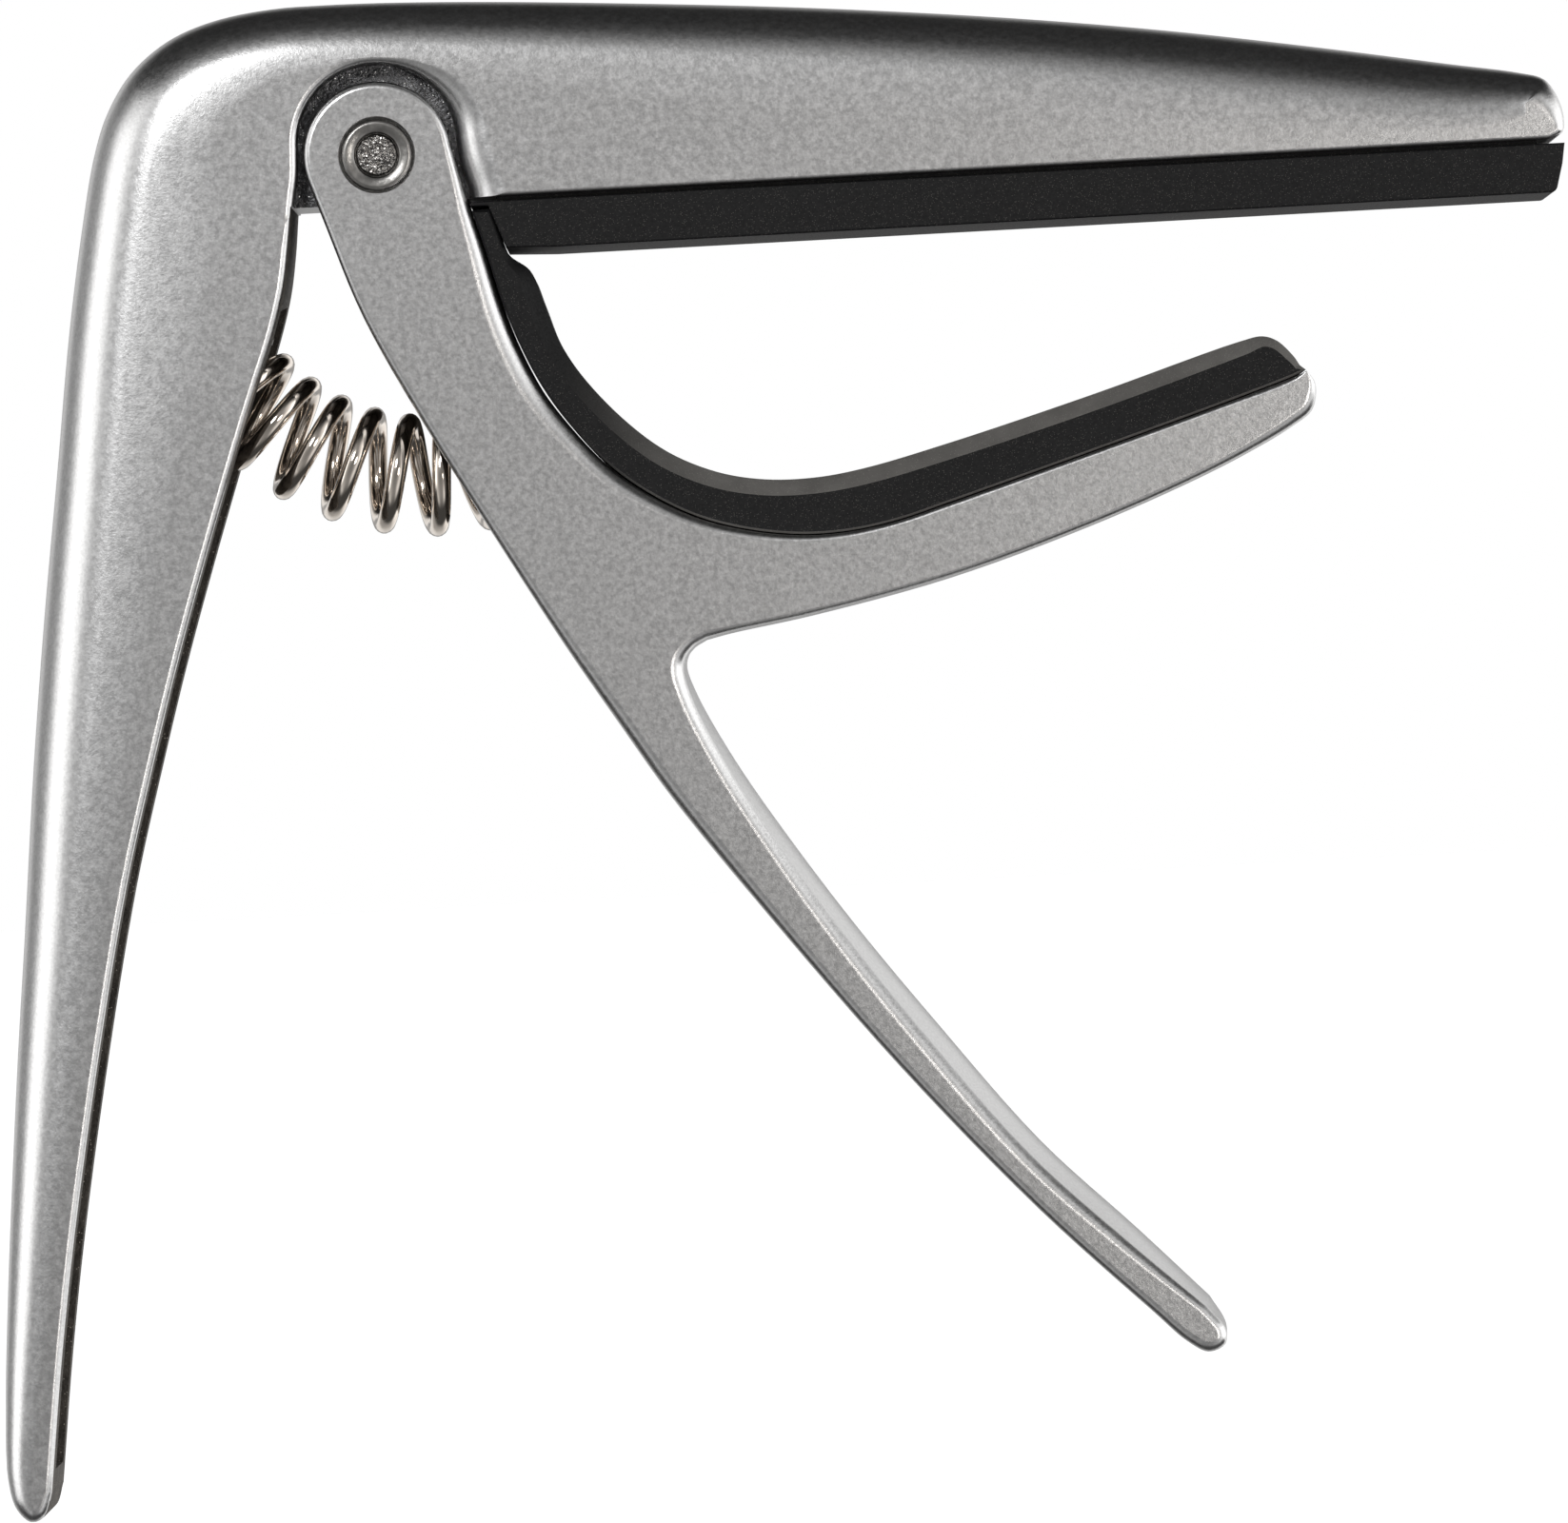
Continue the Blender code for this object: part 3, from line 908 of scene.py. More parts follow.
@dataclass(frozen=True)
class PeenedSteel:
    """The rivet's steel: a satin ring round a hammered middle, which is darkened with painted shade and
    dotted with painted glints.
    """

    tone: Tone = (0.33, 0.322, 0.31)
    painted_shade_tone: Tone = (0.06, 0.055, 0.05)
    painted_glint_tone: Tone = (0.95, 0.93, 0.9)
    hammered_radius: float = 1.15

    def hammered(self, paint: Paint) -> NodeSocket:
        """Masks the hammered middle.

        Args:
            paint: The material.

        Returns:
            1 in the middle and 0 on the ring.
        """
        bench = paint.bench
        centred = bench.add("Mapping")
        bench.feed(centred.inputs["Vector"], paint.where)
        centred.inputs["Location"].default_value = (-PIVOT.x * MM, 0, -PIVOT.y * MM)
        flat = bench.add("VectorMath", operation="MULTIPLY")
        bench.feed(flat.inputs[0], centred.outputs[0])
        flat.inputs[1].default_value = (1, 0, 1)
        length = bench.add("VectorMath", operation="LENGTH")
        bench.feed(length.inputs[0], flat.outputs[0])
        radius = bench.math("MULTIPLY", length.outputs["Value"], 1 / MM)
        return bench.step(radius, self.hammered_radius * 0.9, self.hammered_radius * 1.05, 1.0, 0.0)

    def build(self, effects: Effects) -> Material:
        """Makes the material.

        Args:
            effects: The shared effects.

        Returns:
            The material.
        """
        paint = Paint("peened_steel", effects)
        bench = paint.bench
        hammered = self.hammered(paint)
        height, mottle = paint.grain(0.34, 0.5)
        base = bench.mix(bench.step(mottle, 0.3, 0.7), rgba(self.tone, 0.7), rgba(self.tone))
        # Painted shade: the hammered middle is darkened.
        shaded = bench.mix(bench.math("MULTIPLY", hammered, 0.55), base, rgba(self.painted_shade_tone))
        # Painted glints: bright dots in the hammered middle.
        painted_glints = bench.math("MULTIPLY", paint.specks(0.2, 0.5), hammered)
        colour = bench.mix(painted_glints, shaded, rgba(self.painted_glint_tone))
        wear = bench.math("MULTIPLY_ADD", hammered, -0.12, 0.30)
        dents = bench.math("MULTIPLY", height, bench.math("MULTIPLY_ADD", hammered, 0.94, 0.06))
        return paint.finish(colour, 1.0, wear, bench.bump(dents, 1.0, 0.22 * MM))


@dataclass(frozen=True)
class Finishes:
    """Every finish, built once."""

    casting: Material
    # painted shade in the ears' recesses
    hollow_shade: Material
    # painted shade in the channels and on the arm's inner wall
    channel_shade: Material
    rubber: Material
    # painted light on the neck pad's chamfer
    lit_chamfer_rubber: Material
    nickel: Material
    steel: Material

    @classmethod
    def build(cls) -> "Finishes":
        """Builds the shared effects and the finishes that use them.

        Returns:
            The finishes.
        """
        # Painted shade: a dark brownish tone for the channels, posts and inner wall, where shade falls.
        channel_shade = PaintedShadeCasting("painted_shade_channel", (0.10, 0.088, 0.076), (0.45, 0.41, 0.36), 0.16, 0.25, 0.6)
        # The grey rubber is painted light: a lighter tone on the neck pad's chamfer where light falls on it.
        lit_chamfer_rubber = BlackRubber(
            "painted_light_rubber", (0.125, 0.121, 0.115), (0.28, 0.27, 0.25), 0.2, painted_light_from=-27.5, painted_light_to=-17.5
        )
        looks = (SatinCasting(), PaintedShadeCasting(), channel_shade, BlackRubber(), lit_chamfer_rubber, BrightNickel(), PeenedSteel())
        effects = Effects()
        return cls(*(look.build(effects) for look in looks))


# ------------------------------------------------------------------ spring


@dataclass
class CoilSpring:
    """The compression spring, bent on an arc between its two seats. Angles are from straight down."""

    centre: Vector = field(default_factory=lambda: Vector((-33.5, 1.95)))
    bend_radius: float = 14.0
    coil_radius: float = 2.87
    wire_radius: float = 0.53
    arm_seat: float = 63.0
    lever_seat: float = -22.0
    turns: float = 8.5
    end_turns: float = 0.75
    start_turn: float = -0.55
    lean: float = 1.0
    points_per_turn: int = 40
    held: float = 6.0
    peg_radius: float = 1.9
    peg_length: float = 2.4
    peg_root: float = 1.0

    def spot(self, angle: float, radius: float | None = None) -> Vector:
        """Finds a point in XZ.

        Args:
            angle: Its angle.
            radius: Its distance from the centre of the bend, or None for one on the bend.

        Returns:
            The point.
        """
        turn = math.radians(angle)
        reach = self.bend_radius if radius is None else radius
        return self.centre - Vector((math.sin(turn), math.cos(turn))) * reach

    def route(self) -> list[Vector]:
        """Winds the wire's centreline, a left-hand helix with closed turns at both ends.

        Returns:
            Its points, in metres.
        """
        clear = math.degrees((self.wire_radius + 0.2) / self.bend_radius)
        closed = math.degrees((2 * self.wire_radius + 0.05) / (self.bend_radius - self.coil_radius))
        angle = self.arm_seat - clear
        end = self.lever_seat + clear
        active = (angle - end - 2 * self.end_turns * closed) / (self.turns - 2 * self.end_turns)
        found = []
        for i in range(int(self.turns * self.points_per_turn) + 1):
            done = i / self.points_per_turn
            swing = math.tau * (self.start_turn + done)
            reach = self.bend_radius - self.coil_radius * math.cos(swing)
            place = self.spot(angle + self.lean * math.cos(swing), reach)
            found.append(Vector((place.x, self.coil_radius * math.sin(swing), place.y)) * MM)
            closed_here = done < self.end_turns or done >= self.turns - self.end_turns
            angle -= (closed if closed_here else active) / self.points_per_turn
        return found

    def wire(self) -> BMesh:
        """Draws the wire along its route.

        Returns:
            The wire, in millimetres.
        """
        route = self.route()
        curve = bpy.data.curves.new("coil_spring_wire", "CURVE")
        curve.dimensions = "3D"
        curve.bevel_depth = self.wire_radius * MM
        curve.bevel_resolution = 6
        curve.use_fill_caps = True
        spline = curve.splines.new("POLY")
        spline.points.add(len(route) - 1)
        for point, place in zip(spline.points, route):
            point.co = (*place, 1)
        drawn = add_object("coil_spring_wire", curve)
        graph = bpy.context.evaluated_depsgraph_get()
        mesh = bpy.data.meshes.new_from_object(drawn.evaluated_get(graph))
        bpy.data.objects.remove(drawn, do_unlink=True)
        bm = bmesh.new()
        bm.from_mesh(mesh)
        bmesh.ops.scale(bm, verts=bm.verts, vec=(1 / MM, 1 / MM, 1 / MM))
        return bm

    def build(self, finishes: Finishes) -> Object:
        """Makes the spring, which bends between the arm and the lever.

        Args:
            finishes: Every finish.

        Returns:
            The piece.
        """
        piece = add_piece("spring_wire", self.wire(), [finishes.nickel])
        shade(piece, 50)
        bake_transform(piece)
        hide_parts("coil_spring")
        log.info("%s: %d faces, bends between the bodies", piece.name, len(piece.data.polygons))
        return piece

    def peg(self, angle: float, inwards: float) -> BMesh:
        """Makes the post cast on a seat, which the spring sits on.

        Args:
            angle: The seat's angle.
            inwards: The sign of the way into the casting.

        Returns:
            The post, in millimetres.
        """
        turn = math.radians(angle)
        along = Vector((math.cos(turn), 0, -math.sin(turn))) * inwards
        place = self.spot(angle)
        middle = Vector((place.x, 0, place.y)) + along * (self.peg_root - self.peg_length) / 2
        return peg(middle, along, self.peg_radius, self.peg_root + self.peg_length)


# ------------------------------------------------------------------ castings


@dataclass
class FixedArm:
    """Beam and rear handle in one casting, a channel open towards the lever."""

    half: float = 6.0
    channel_half: float = 3.7
    tongue_half: float = 3.8
    shoulder_dip: float = 0.045
    lowest: Vector = field(default_factory=lambda: Vector((-60.24, -68.34)))
    highest: Vector = field(default_factory=lambda: Vector((29.15, 14.06)))
    seat_inner: float = 7.0
    seat_outer: float = 6.3
    notch_centre: Vector = field(default_factory=lambda: Vector((-36.0, 6.2)))
    notch_radius: float = 4.37
    notch_rim: float = 0.42
    notch_glow: float = 1.45
    outside: Sequence[Spot] = (
        (28.2, BEAM_UNDERSIDE, 0.2), (29.0, 3.25, 0.45), (29.15, 4.15, 0.85, 0.1),
        (28.8, 5.45, 1.25, 0.2), (28.2, 6.3, 1.75, 0.2), (26.9, 6.75, 2.5, 0.3), (23.3, 7.45, 3.3, 0.6),
        (15.5, 8.9, 3.8, 1.3), (7.7, 10.2, 3.9, 2.0), (-0.8, 11.35, 3.8, 2.4), (-11.75, 12.5, 3.7, 2.4),
        (-22.0, 13.3, 3.5, 2.0), (-31.0, 13.85, 3.2, 1.2), (-37.0, 14.05, 3.0, 0.6),
        (-41.4, 14.0, 3.1, 1.0), (-44.8, 13.5, 3.4, 1.8), (-47.3, 12.55, 3.6, 2.4),
        (-49.4, 10.9, 3.7, 2.7), (-50.8, 8.8, 3.8, 3.2), (-51.65, 6.5, 3.8, 3.9), (-52.5, 2.7, 3.8, 4.3),
        (-53.55, -3.15, 3.8, 4.2), (-54.65, -10.95, 3.8, 3.3), (-55.8, -18.95, 3.8, 2.5),
        (-56.8, -26.95, 3.6, 1.9), (-57.75, -35.95, 3.3, 1.3), (-58.45, -42.35, 3.0, 0.9),
        (-59.1, -49.05, 2.6, 0.5), (-59.7, -55.75, 2.2, 0.35), (-60.15, -62.25, 1.7, 0.2),
        (-60.2, -65.95, 1.3, 0.1), (-59.8, -67.6, 1.0), (-59.0, -68.35, 0.8), (-58.2, -68.0, 0.6),
        (-57.75, -66.75, 0.4),
    )
    inside: Sequence[Spot] = (
        (-57.75, -66.75, 0.4), (-56.85, -59.75, 0.4), (-55.75, -52.75, 0.4), (-53.8, -42.55, 0.4),
        (-51.85, -33.75, 0.4), (-50.05, -27.25, 0.4), (-48.1, -20.75, 0.4), (-45.0, -11.55, 0.4),
        (-43.4, -7.15, 0.4), (-42.3, -4.25, 0.4), (-41.5, -1.55, 0.4), (-41.1, 0.75, 0.4),
        (-40.85, BEAM_UNDERSIDE, 0.2),
    )
    web: Sequence[Spot] = (
        (-52.2, -12.25), (-53.5, -20.25), (-54.6, -28.25), (-55.6, -36.25), (-56.6, -44.25),
        (-57.5, -51.25), (-58.2, -58.25), (-58.65, -63.75), (-58.4, -65.55),
    )
    mouth: Sequence[Spot] = (
        (-56.0, -65.55), (-54.3, -52.0), (-51.0, -38.0), (-43.0, -18.0), (-39.0, -6.0),
    )

    def outline(self) -> list[Vector]:
        """Draws the casting's outline, kept inside the CAD casting's box.

        Returns:
            Its points, anticlockwise from the beam's tip.
        """
        outline = joined(smooth(self.outside), smooth(self.inside), [self.outside[0]])
        for point in outline:
            point.x = min(max(point.x, self.lowest.x), self.highest.x)
            point.y = min(max(point.y, self.lowest.y), self.highest.y)
        return outline

    def channel(self, spring: CoilSpring) -> list[Vector]:
        """Draws the channel's outline, closed at the top by the spring's seat.

        Args:
            spring: The spring.

        Returns:
            Its points.
        """
        inner = spring.spot(spring.arm_seat, spring.bend_radius - self.seat_inner)
        outer = spring.spot(spring.arm_seat, spring.bend_radius + self.seat_outer)
        return joined([inner, outer], smooth(self.web), self.mouth)

    def recess(self) -> list[Vector]:
        """Draws the arched recess for an ear, whose rim is softest on the beam's side.

        Returns:
            Its points, anticlockwise.
        """
        right = [(-30.9, 2.5, 2.0), (-31.05, 3.3, 2.0), (-31.45, 4.8, 1.95)]
        left = [(x, z, self.notch_rim) for x, z in ((-40.45, 4.6), (-40.62, 3.6), (-40.8, 2.5))]
        arch = arc(self.notch_centre, self.notch_radius, 0, 180, self.notch_rim)
        for point in arch:
            turn = math.atan2(point.y - self.notch_centre.y, point.x - self.notch_centre.x)
            point.z = self.notch_rim + self.notch_glow * max(0.0, math.cos(turn)) ** 2
        return joined(smooth([*right, arch[0]]), arch, smooth([arch[-1], *left]))

    def shade_inner_wall(self, piece: Object) -> None:
        """Gives the wall that faces the lever the dark tone of painted shade, as in the channel.

        Args:
            piece: The casting, before it is carved.
        """
        top, right, rim = 2.9 * MM, -40.8 * MM, 0.3
        for face in piece.data.polygons:
            low = face.center.z < top and face.center.x < right
            if low and face.normal.x > 0.6 and abs(face.center.y) < (self.half - rim) * MM:
                face.material_index = 2

    def build(self, finishes: Finishes, spring: CoilSpring) -> Object:
        """Makes the arm.

        Args:
            finishes: Every finish.
            spring: The spring, whose seat and post are part of the casting.

        Returns:
            The piece.
        """
        # The channels, the spring's post and the inner wall take the dark tone of painted shade.
        metals, hollow_shade = [finishes.casting, finishes.hollow_shade, finishes.channel_shade], [finishes.channel_shade]
        levels = shoulder_levels(self.half, self.shoulder_dip)
        piece = add_piece("arm_casting", slab(self.outline(), levels), metals)
        self.shade_inner_wall(piece)
        carve(piece, slab(self.channel(spring), [Level(0), Level(-self.channel_half)]), "DIFFERENCE", hollow_shade)
        for side in (-1, 1):
            # The recesses' walls and floors take material index 1, the dark tone of painted shade.
            cutter = recess_cutter(self.recess(), side * self.half, side * self.tongue_half)
            carve(piece, cutter, "DIFFERENCE", metals)
        carve(piece, spring.peg(spring.arm_seat, -1), "UNION", hollow_shade)
        finish_surface(piece)
        return seat(piece, Body.ARM, "fixed_arm")


@dataclass
class SqueezeLever:
    """Ears, jaw and trigger in one casting, a channel open towards the handle."""

    half: float = 5.8
    channel_half: float = 4.0
    ear_radius: float = 4.05
    seat_reach: float = 3.6
    left: Sequence[Spot] = (
        (-39.3, 2.65, 0.4), (-37.2, -3.35, 0.4), (-34.2, -9.35, 0.45), (-30.1, -16.75, 0.5),
        (-27.05, -22.05, 0.6), (-24.4, -26.35, 0.7), (-21.8, -30.45, 0.7), (-17.05, -36.95, 0.6),
        (-10.05, -45.95, 0.5), (-2.85, -54.2, 0.5), (3.1, -60.15, 0.5), (4.85, -61.85, 0.55),
        (6.0, -62.5, 0.6), (6.95, -62.15, 0.6), (7.2, -61.2, 0.55, 0.2), (6.4, -59.65, 0.5, 0.5),
    )
    trigger: Sequence[Spot] = (
        (6.4, -59.65, 0.5, 0.5), (2.6, -55.7, 0.7, 0.8), (-2.5, -50.55, 0.8, 0.85),
        (-8.0, -43.55, 0.85, 0.85), (-11.8, -38.45, 0.85, 0.75), (-15.15, -33.55, 0.8, 0.65),
        (-18.2, -28.65, 0.75, 0.5), (-20.15, -24.75, 0.75, 0.3), (-20.55, -23.25, 0.75, 0.15),
        (-20.2, -22.4, 0.6, 0.0), (-19.4, -21.9, 0.45, 0.0),
    )
    jaw: Sequence[Spot] = (
        (-19.4, -21.9, 0.45), (-18.0, -21.6, 0.35), (-13.4, -20.85, 0.3), (-5.75, -19.2, 0.3),
        (2.2, -16.75, 0.35), (8.4, -14.4, 0.4), (11.4, -13.05, 0.5), (13.5, -11.95, 0.6),
        (14.45, -11.25, 0.6), (14.75, -10.35, 0.5), (14.7, -9.65, 0.35), (14.3, -9.05, 0.02),
    )
    seat_line: Sequence[Spot] = (
        (14.3, -9.05, 0.02), (13.6, -9.35, 0.25), (9.6, -10.65, 0.25), (2.4, -12.85, 0.25),
        (-5.5, -15.2, 0.25), (-8.5, -16.05, 0.25), (-11.2, -16.5, 0.3), (-13.9, -16.55, 0.35),
        (-17.1, -16.05, 0.45), (-19.8, -15.15, 0.6), (-22.4, -13.65, 0.8), (-24.3, -12.1, 1.0),
        (-26.0, -10.15, 1.1), (-27.6, -7.85, 1.2), (-28.75, -5.45, 1.2), (-29.6, -3.05, 1.1),
        (-30.45, 0.15, 0.9), (-31.05, 2.2, 0.7),
    )
    web: Sequence[Spot] = (
        (-25.4, -18.25), (-23.6, -22.75), (-21.9, -26.25), (-19.2, -30.55), (-16.7, -34.25),
        (-13.2, -39.25), (-9.5, -44.15), (-5.8, -48.85), (-2.6, -52.45), (0.6, -55.75), (3.0, -58.15),
        (4.3, -59.85),
    )
    mouth: Sequence[Spot] = ((-24.0, 12.0), (-46.0, 12.0), (-46.0, -4.0), (-2.0, -64.0), (3.4, -60.6))
    ear_gap: Sequence[Spot] = ((-31.7, -3.65), (-32.7, -0.25), (-33.3, 2.35), (-24.0, 2.35))

    def outline(self) -> list[Vector]:
        """Draws the casting's outline.

        Returns:
            Its points, anticlockwise from the ear.
        """
        ear = arc(PIVOT, self.ear_radius, 8, 196, 0.4)
        sides = [smooth(side) for side in (self.left, self.trigger, self.jaw, self.seat_line)]
        return joined(ear, *sides, [(-31.55, 4.25, 0.5)])

    def hollow(self, spring: CoilSpring) -> list[Vector]:
        """Draws the channel between the ears and behind the trigger, closed by the spring's seat.

        Args:
            spring: The spring.

        Returns:
            Its points.
        """
        inner = spring.spot(spring.lever_seat, spring.bend_radius - self.seat_reach)
        outer = spring.spot(spring.lever_seat, spring.bend_radius + self.seat_reach)
        return joined(self.mouth, reversed(smooth(self.web)), [outer, inner], self.ear_gap)

    def countersink(self) -> BMesh:
        """Makes the cutter for the bore through the ears, with a dished seat for each rivet head.

        Returns:
            The cutter, in millimetres.
        """
        rim = [(2.4, self.half + 1), (2.12, self.half), (2.05, self.half - 0.12), (2.05, 5.45), (1.6, 4.95)]
        return spun([(0.0, -self.half - 1), *[(r, -y) for r, y in rim], *reversed(rim), (0.0, self.half + 1)])

    def build(self, finishes: Finishes, spring: CoilSpring) -> Object:
        """Makes the lever.

        Args:
            finishes: Every finish.
            spring: The spring, whose seat and post are part of the casting.

        Returns:
            The piece.
        """
        # The channel and the spring's post take the dark tone of painted shade.
        metals, hollow_shade = [finishes.casting], [finishes.channel_shade]
        piece = add_piece("lever_casting", slab(self.outline(), rim_levels(self.half)), metals)
        carve(piece, slab(self.hollow(spring), [Level(0), Level(-self.channel_half)]), "DIFFERENCE", hollow_shade)
        carve(piece, spring.peg(spring.lever_seat, 1), "UNION", hollow_shade)
        carve(piece, self.countersink(), "DIFFERENCE", metals)
        finish_surface(piece)
        return seat(piece, Body.LEVER, "lever")


# ------------------------------------------------------------------ pads and rivet


@dataclass
class FretPad:
    """The straight rubber bar under the beam, with a tongue that fills the joint to the beam."""

    half: float = 5.4
    tongue_half: float = 4.6
    tongue_foot: float = 2.0
    tongue_ends: tuple[float, float] = (-29.6, 27.6)
    hinge_end: Sequence[Spot] = (
        (-31.02, 2.46, 0.1), (-30.05, 2.44, 0.1), (-29.2, 0.12, 0.1), (-26.5, 0.0, 0.12),
    )
    free_end: Sequence[Spot] = ((28.95, 1.6, 0.12), (29.12, PAD_TOP, 0.1), (-31.02, PAD_TOP, 0.1))

    def build(self, finishes: Finishes) -> Object:
        """Makes the pad.

        Args:
            finishes: Every finish.

        Returns:
            The piece.
        """
        corner = arc(Vector((28.2, 0.42)), 0.42, -90, -12, 0.12, 8)
        outline = joined(self.hinge_end, corner, self.free_end)
        piece = add_piece("fret_pad_rubber", slab(outline, rim_levels(self.half, 4, 1)), [finishes.rubber])
        foot, top = self.tongue_foot, BEAM_UNDERSIDE - 0.01
        near, far = self.tongue_ends
        tongue = joined([(near, foot), (far, foot), (far, top), (near, top)])
        carve(piece, slab(tongue, [Level(0), Level(-self.tongue_half)]), "UNION", [finishes.rubber])
        finish_surface(piece)
        return seat(piece, Body.ARM, "fret_pad")


@dataclass
class NeckPad:
    """The curved rubber lining of the jaw, chamfered along the side that meets the neck."""

    half: float = 5.4
    joint: float = 0.08
    side: Sequence[Spot] = (
        (-29.95, 2.3, 0.2), (-29.25, 0.1, 0.25), (-28.95, -0.4, 0.4), (-27.95, -1.2, 0.75),
        (-27.3, -2.95, 0.9), (-26.6, -5.05, 0.9), (-25.5, -7.0, 0.9), (-23.3, -9.6, 0.9),
        (-20.95, -11.55, 0.9), (-18.3, -12.8, 0.9), (-15.7, -13.35, 0.9), (-13.0, -13.4, 0.9),
        (-10.3, -13.05, 0.9), (-5.3, -11.85, 0.9), (2.6, -9.65, 0.9), (10.8, -7.2, 0.8),
        (12.0, -7.0, 0.6), (12.8, -7.3, 0.5), (13.65, -8.2, 0.4), (13.95, -8.7, 0.3),
    )

    def build(self, finishes: Finishes, lever: SqueezeLever) -> Object:
        """Makes the pad.

        Args:
            finishes: Every finish.
            lever: The lever, whose seat line the pad follows.

        Returns:
            The piece.
        """
        line = smooth(lever.seat_line)
        for point in line:
            point.z, point.w = 0.12, 0.0
        outline = joined(smooth(self.side), beside(line, self.joint))
        outline.reverse()
        chamfer = ((1, 0), (0.9, 0.06), (0.12, 0.86), (0, 1.0))
        levels = [Level(0), *(Level(-self.half, depth=depth, inset=inset) for depth, inset in chamfer)]
        piece = add_piece("neck_pad_rubber", slab(outline, levels), [finishes.rubber, finishes.lit_chamfer_rubber])
        # The chamfer faces get the grey rubber of painted light.
        for face in piece.data.polygons:
            if 0.3 < abs(face.normal.y) < 0.95:
                face.material_index = 1
        finish_surface(piece, crease=28)
        return seat(piece, Body.LEVER, "neck_pad")


@dataclass
class PivotRivet:
    """The hinge rivet: a peened, dished head in front and a low dome behind. Points are (radius, y)."""

    front: Sequence[tuple[float, float]] = (
        (0.0, -5.56), (0.3, -5.60), (0.6, -5.57), (0.85, -5.62), (1.03, -5.63), (1.11, -5.57),
        (1.15, -5.42), (1.19, -5.42), (1.23, -5.55), (1.30, -5.60), (1.5, -5.64), (1.68, -5.67),
        (1.80, -5.67), (1.89, -5.62), (1.94, -5.52), (1.94, -5.2),
    )
    shaft: Sequence[tuple[float, float]] = ((1.5, -4.95), (1.5, 4.95))
    back: Sequence[tuple[float, float]] = ((1.95, 5.4), (1.93, 5.6), (1.7, 5.82), (1.0, 5.92), (0.0, 5.95))

    def build(self, finishes: Finishes) -> Object:
        """Makes the rivet.

        Args:
            finishes: Every finish.

        Returns:
            The piece.
        """
        piece = add_piece("hinge_rivet", spun([*self.front, *self.shaft, *self.back]), [finishes.steel])
        shade(piece, 50)
        return seat(piece, Body.ARM, "pivot_rivet")


# ------------------------------------------------------------------ studio


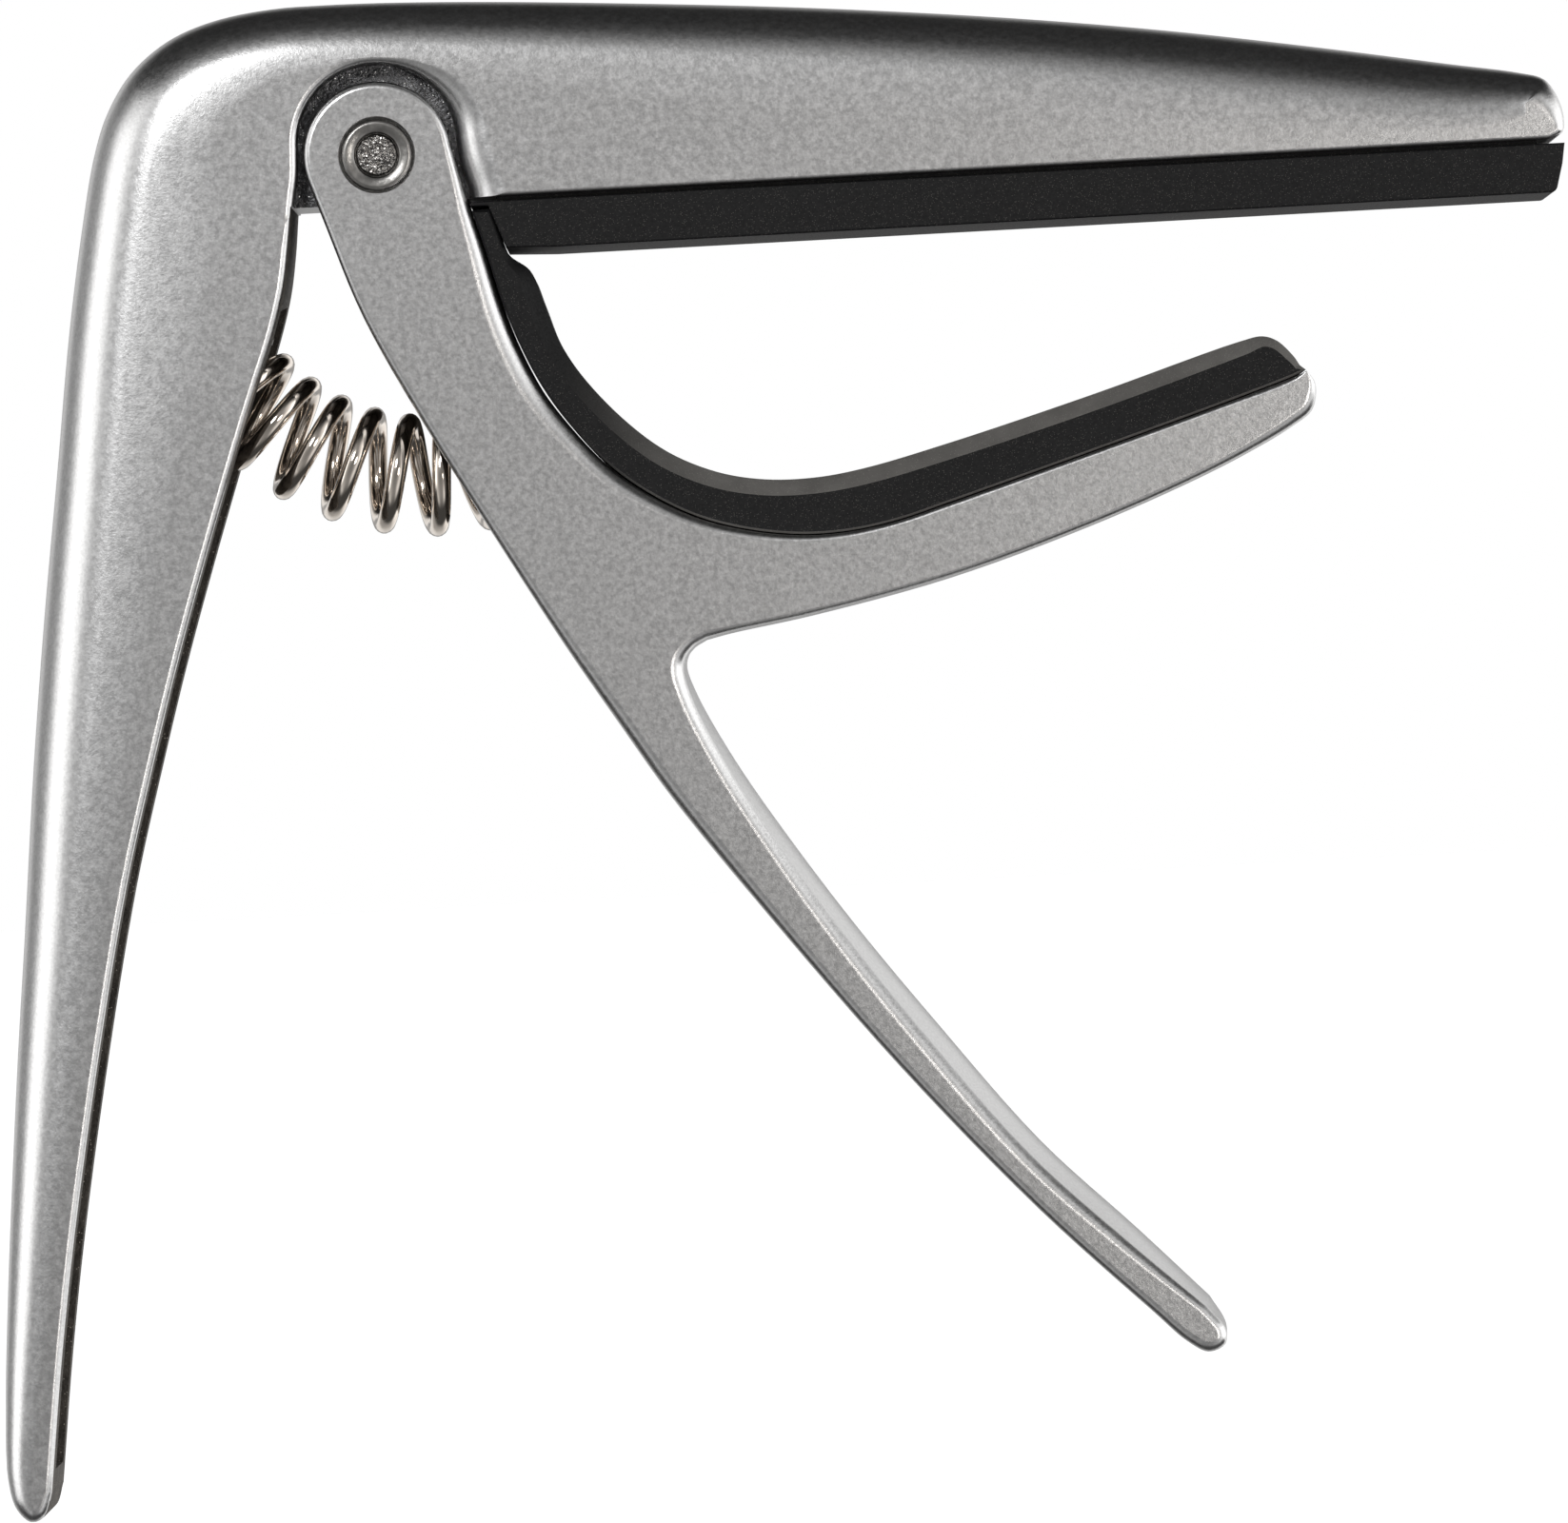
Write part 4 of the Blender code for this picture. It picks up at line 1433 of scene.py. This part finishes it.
@dataclass
class Studio:
    """White surroundings, soft light from both sides, dark above, a pale floor and the camera.

    The lights are stops of (angle in degrees, brightness), where 0 is the viewer's side and 180 beyond.
    """

    view_centre: Vector = field(default_factory=lambda: Vector((-15.5, 0.0, -28.89)))
    distance: float = 720.0
    view_width: float = 86.68
    sensor: float = 36.0
    roll: float = 3.12
    floor_z: float = -75.5
    left_light: Stops = (
        (0, 0.19), (16, 0.21), (34, 0.30), (52, 0.75), (66, 2.1), (88, 2.1), (99, 0.42), (130, 0.38),
        (144, 0.85), (156, 0.85), (164, 0.35), (180, 0.35),
    )
    right_light: Stops = (
        (0, 0.20), (20, 0.26), (40, 0.75), (60, 1.8), (80, 2.4), (120, 1.5), (135, 1.05), (156, 1.05),
        (164, 0.35), (180, 0.35),
    )
    end_light: Stops = (
        (0, 0.20), (60, 0.30), (120, 0.4), (150, 0.7), (156, 0.7), (164, 0.35), (180, 0.35),
    )
    ceiling: float = 0.02
    ground: float = 0.06

    def camera(self) -> None:
        """Puts the camera straight in front, rolled a little, and makes it the scene's own."""
        lens = bpy.data.cameras.new("camera")
        lens.sensor_width = self.sensor
        lens.lens = self.sensor * self.distance / self.view_width
        lens.clip_start = 0.05
        lens.clip_end = 50
        eye = add_object("camera", lens)
        turn = math.radians(self.roll)
        right = Vector((math.cos(turn), 0, -math.sin(turn)))
        up = Vector((math.sin(turn), 0, math.cos(turn)))
        basis = Matrix((right, up, Vector((0, -1, 0)))).transposed().to_4x4()
        eye.matrix_world = Matrix.Translation((self.view_centre - Vector((0, self.distance, 0))) * MM) @ basis
        bpy.context.scene.camera = eye

    def light(self, bench: NodeBench) -> NodeSocket:
        """Sets out the light by direction.

        Args:
            bench: The world's bench.

        Returns:
            The brightness.
        """
        way = bench.add("SeparateXYZ")
        bench.feed(way.inputs[0], bench.add("TexCoord").outputs["Generated"])
        x, y, z = way.outputs
        turn = bench.math("DIVIDE", bench.math("ARCCOSINE", bench.math("MULTIPLY", y, -1.0)), math.pi)
        side = bench.math("SQRT", bench.math("SUBTRACT", 1.0001, bench.math("MULTIPLY", y, y)))
        across = bench.math("DIVIDE", x, side)
        lights = (self.left_light, self.right_light, self.end_light)
        left, right, ends = [self.sweep(bench, turn, stops) for stops in lights]
        to_left = bench.step(across, -0.15, -0.75)
        to_right = bench.step(across, 0.15, 0.75)
        lit = bench.blend(to_right, bench.blend(to_left, ends, left), right)
        above = bench.math("MULTIPLY", bench.step(z, 0.32, 0.66), bench.step(y, -0.92, -0.38))
        below = bench.math("MULTIPLY", bench.step(z, -0.05, -0.36), bench.step(y, -0.85, -0.3))
        below = bench.math("MULTIPLY", below, bench.step(y, 0.55, 0.25))
        return bench.blend(below, bench.blend(above, lit, self.ceiling), self.ground)

    def surroundings(self) -> None:
        """Wires the world: seen as plain white, and lit by broad soft areas."""
        world = bpy.data.worlds.new("studio")
        world.use_nodes = True
        bpy.context.scene.world = world
        bench = NodeBench(world.node_tree)
        choose = bench.add("MixShader")
        bench.feed(choose.inputs[0], bench.add("LightPath").outputs["Is Camera Ray"])
        skies = (((1.0, 0.995, 0.985, 1.0), self.light(bench)), ((1, 1, 1, 1), 1.0))
        for socket, (colour, strength) in zip(choose.inputs[1:], skies):
            sky = bench.add("Background")
            bench.feed(sky.inputs["Color"], colour)
            bench.feed(sky.inputs["Strength"], strength)
            bench.feed(socket, sky.outputs[0])
        bench.feed(bench.add("OutputWorld").inputs["Surface"], choose.outputs[0])

    def sweep(self, bench: NodeBench, turn: NodeSocket, stops: Stops) -> NodeSocket:
        """Adds a curve of brightness by angle from the viewer's side.

        Args:
            bench: The world's bench.
            turn: The angle, 0 towards the viewer and 1 away.
            stops: Pairs of angle in degrees and brightness.

        Returns:
            The brightness.
        """
        curve = bench.add("FloatCurve")
        line = curve.mapping.curves[0]
        most = max(level for _, level in stops)
        spots = [(angle / 180, level / most) for angle, level in stops]
        line.points[0].location = spots[0]
        line.points[1].location = spots[-1]
        for spot in spots[1:-1]:
            line.points.new(*spot)
        curve.mapping.update()
        bench.feed(curve.inputs["Value"], turn)
        return bench.math("MULTIPLY", curve.outputs[0], most)

    def lamp(self, name: str, place: Vector, size: float, power: float, colour: Tone) -> None:
        """Adds a square soft light aimed at the capo.

        Args:
            name: Its name.
            place: Where it stands, in millimetres.
            size: Its side, in millimetres.
            power: Its power in watts.
            colour: Its colour.
        """
        light = bpy.data.lights.new(name, "AREA")
        light.size = size * MM
        light.energy = power
        light.color = colour
        aim = (self.view_centre - place).to_track_quat("-Z", "Y").to_matrix().to_4x4()
        add_object(name, light).matrix_world = Matrix.Translation(place * MM) @ aim

    def floor(self) -> None:
        """Lays a wide pale floor, below everything that the squeezed trigger sweeps."""
        bm = bmesh.new()
        bmesh.ops.create_grid(bm, x_segments=1, y_segments=1, size=4000.0)
        bmesh.ops.translate(bm, verts=bm.verts, vec=(0, 0, self.floor_z))
        material = bpy.data.materials.new("pale_floor")
        material.use_nodes = True
        bench = NodeBench(material.node_tree)
        paint = bench.add("BsdfPrincipled")
        look = {
            "Base Color": (0.6, 0.6, 0.6, 1), "Roughness": 0.9, "Specular IOR Level": 0.0,
            "Emission Color": (1, 1, 1, 1), "Emission Strength": 0.88,
        }
        for name, value in look.items():
            paint.inputs[name].default_value = value
        bench.feed(bench.add("OutputMaterial").inputs["Surface"], paint.outputs[0])
        ground = add_piece("floor", bm, [material])
        ground.visible_glossy = False
        ground.visible_diffuse = False

    def build(self) -> None:
        """Sets the stage, and shows colours as they are."""
        self.camera()
        self.surroundings()
        self.floor()
        self.lamp("warm_fill", Vector((215, -625, -30)), 120, 0.55, (1.0, 0.955, 0.91))
        self.lamp("key", Vector((-255, -590, 245)), 140, 1.4, (1.0, 1.0, 1.0))
        bpy.context.scene.view_settings.view_transform = "Standard"
        bpy.context.scene.view_settings.look = "None"


# ------------------------------------------------------------------ main


def main() -> None:
    """Loads the frame and builds every piece and the studio."""
    logging.basicConfig(level=logging.INFO, format="%(name)s: %(message)s")
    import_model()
    finishes = Finishes.build()
    spring = CoilSpring()
    lever = SqueezeLever()
    FixedArm().build(finishes, spring)
    lever.build(finishes, spring)
    FretPad().build(finishes)
    NeckPad().build(finishes, lever)
    PivotRivet().build(finishes)
    spring.build(finishes)
    Studio().build()


if __name__ == "__main__":
    main()
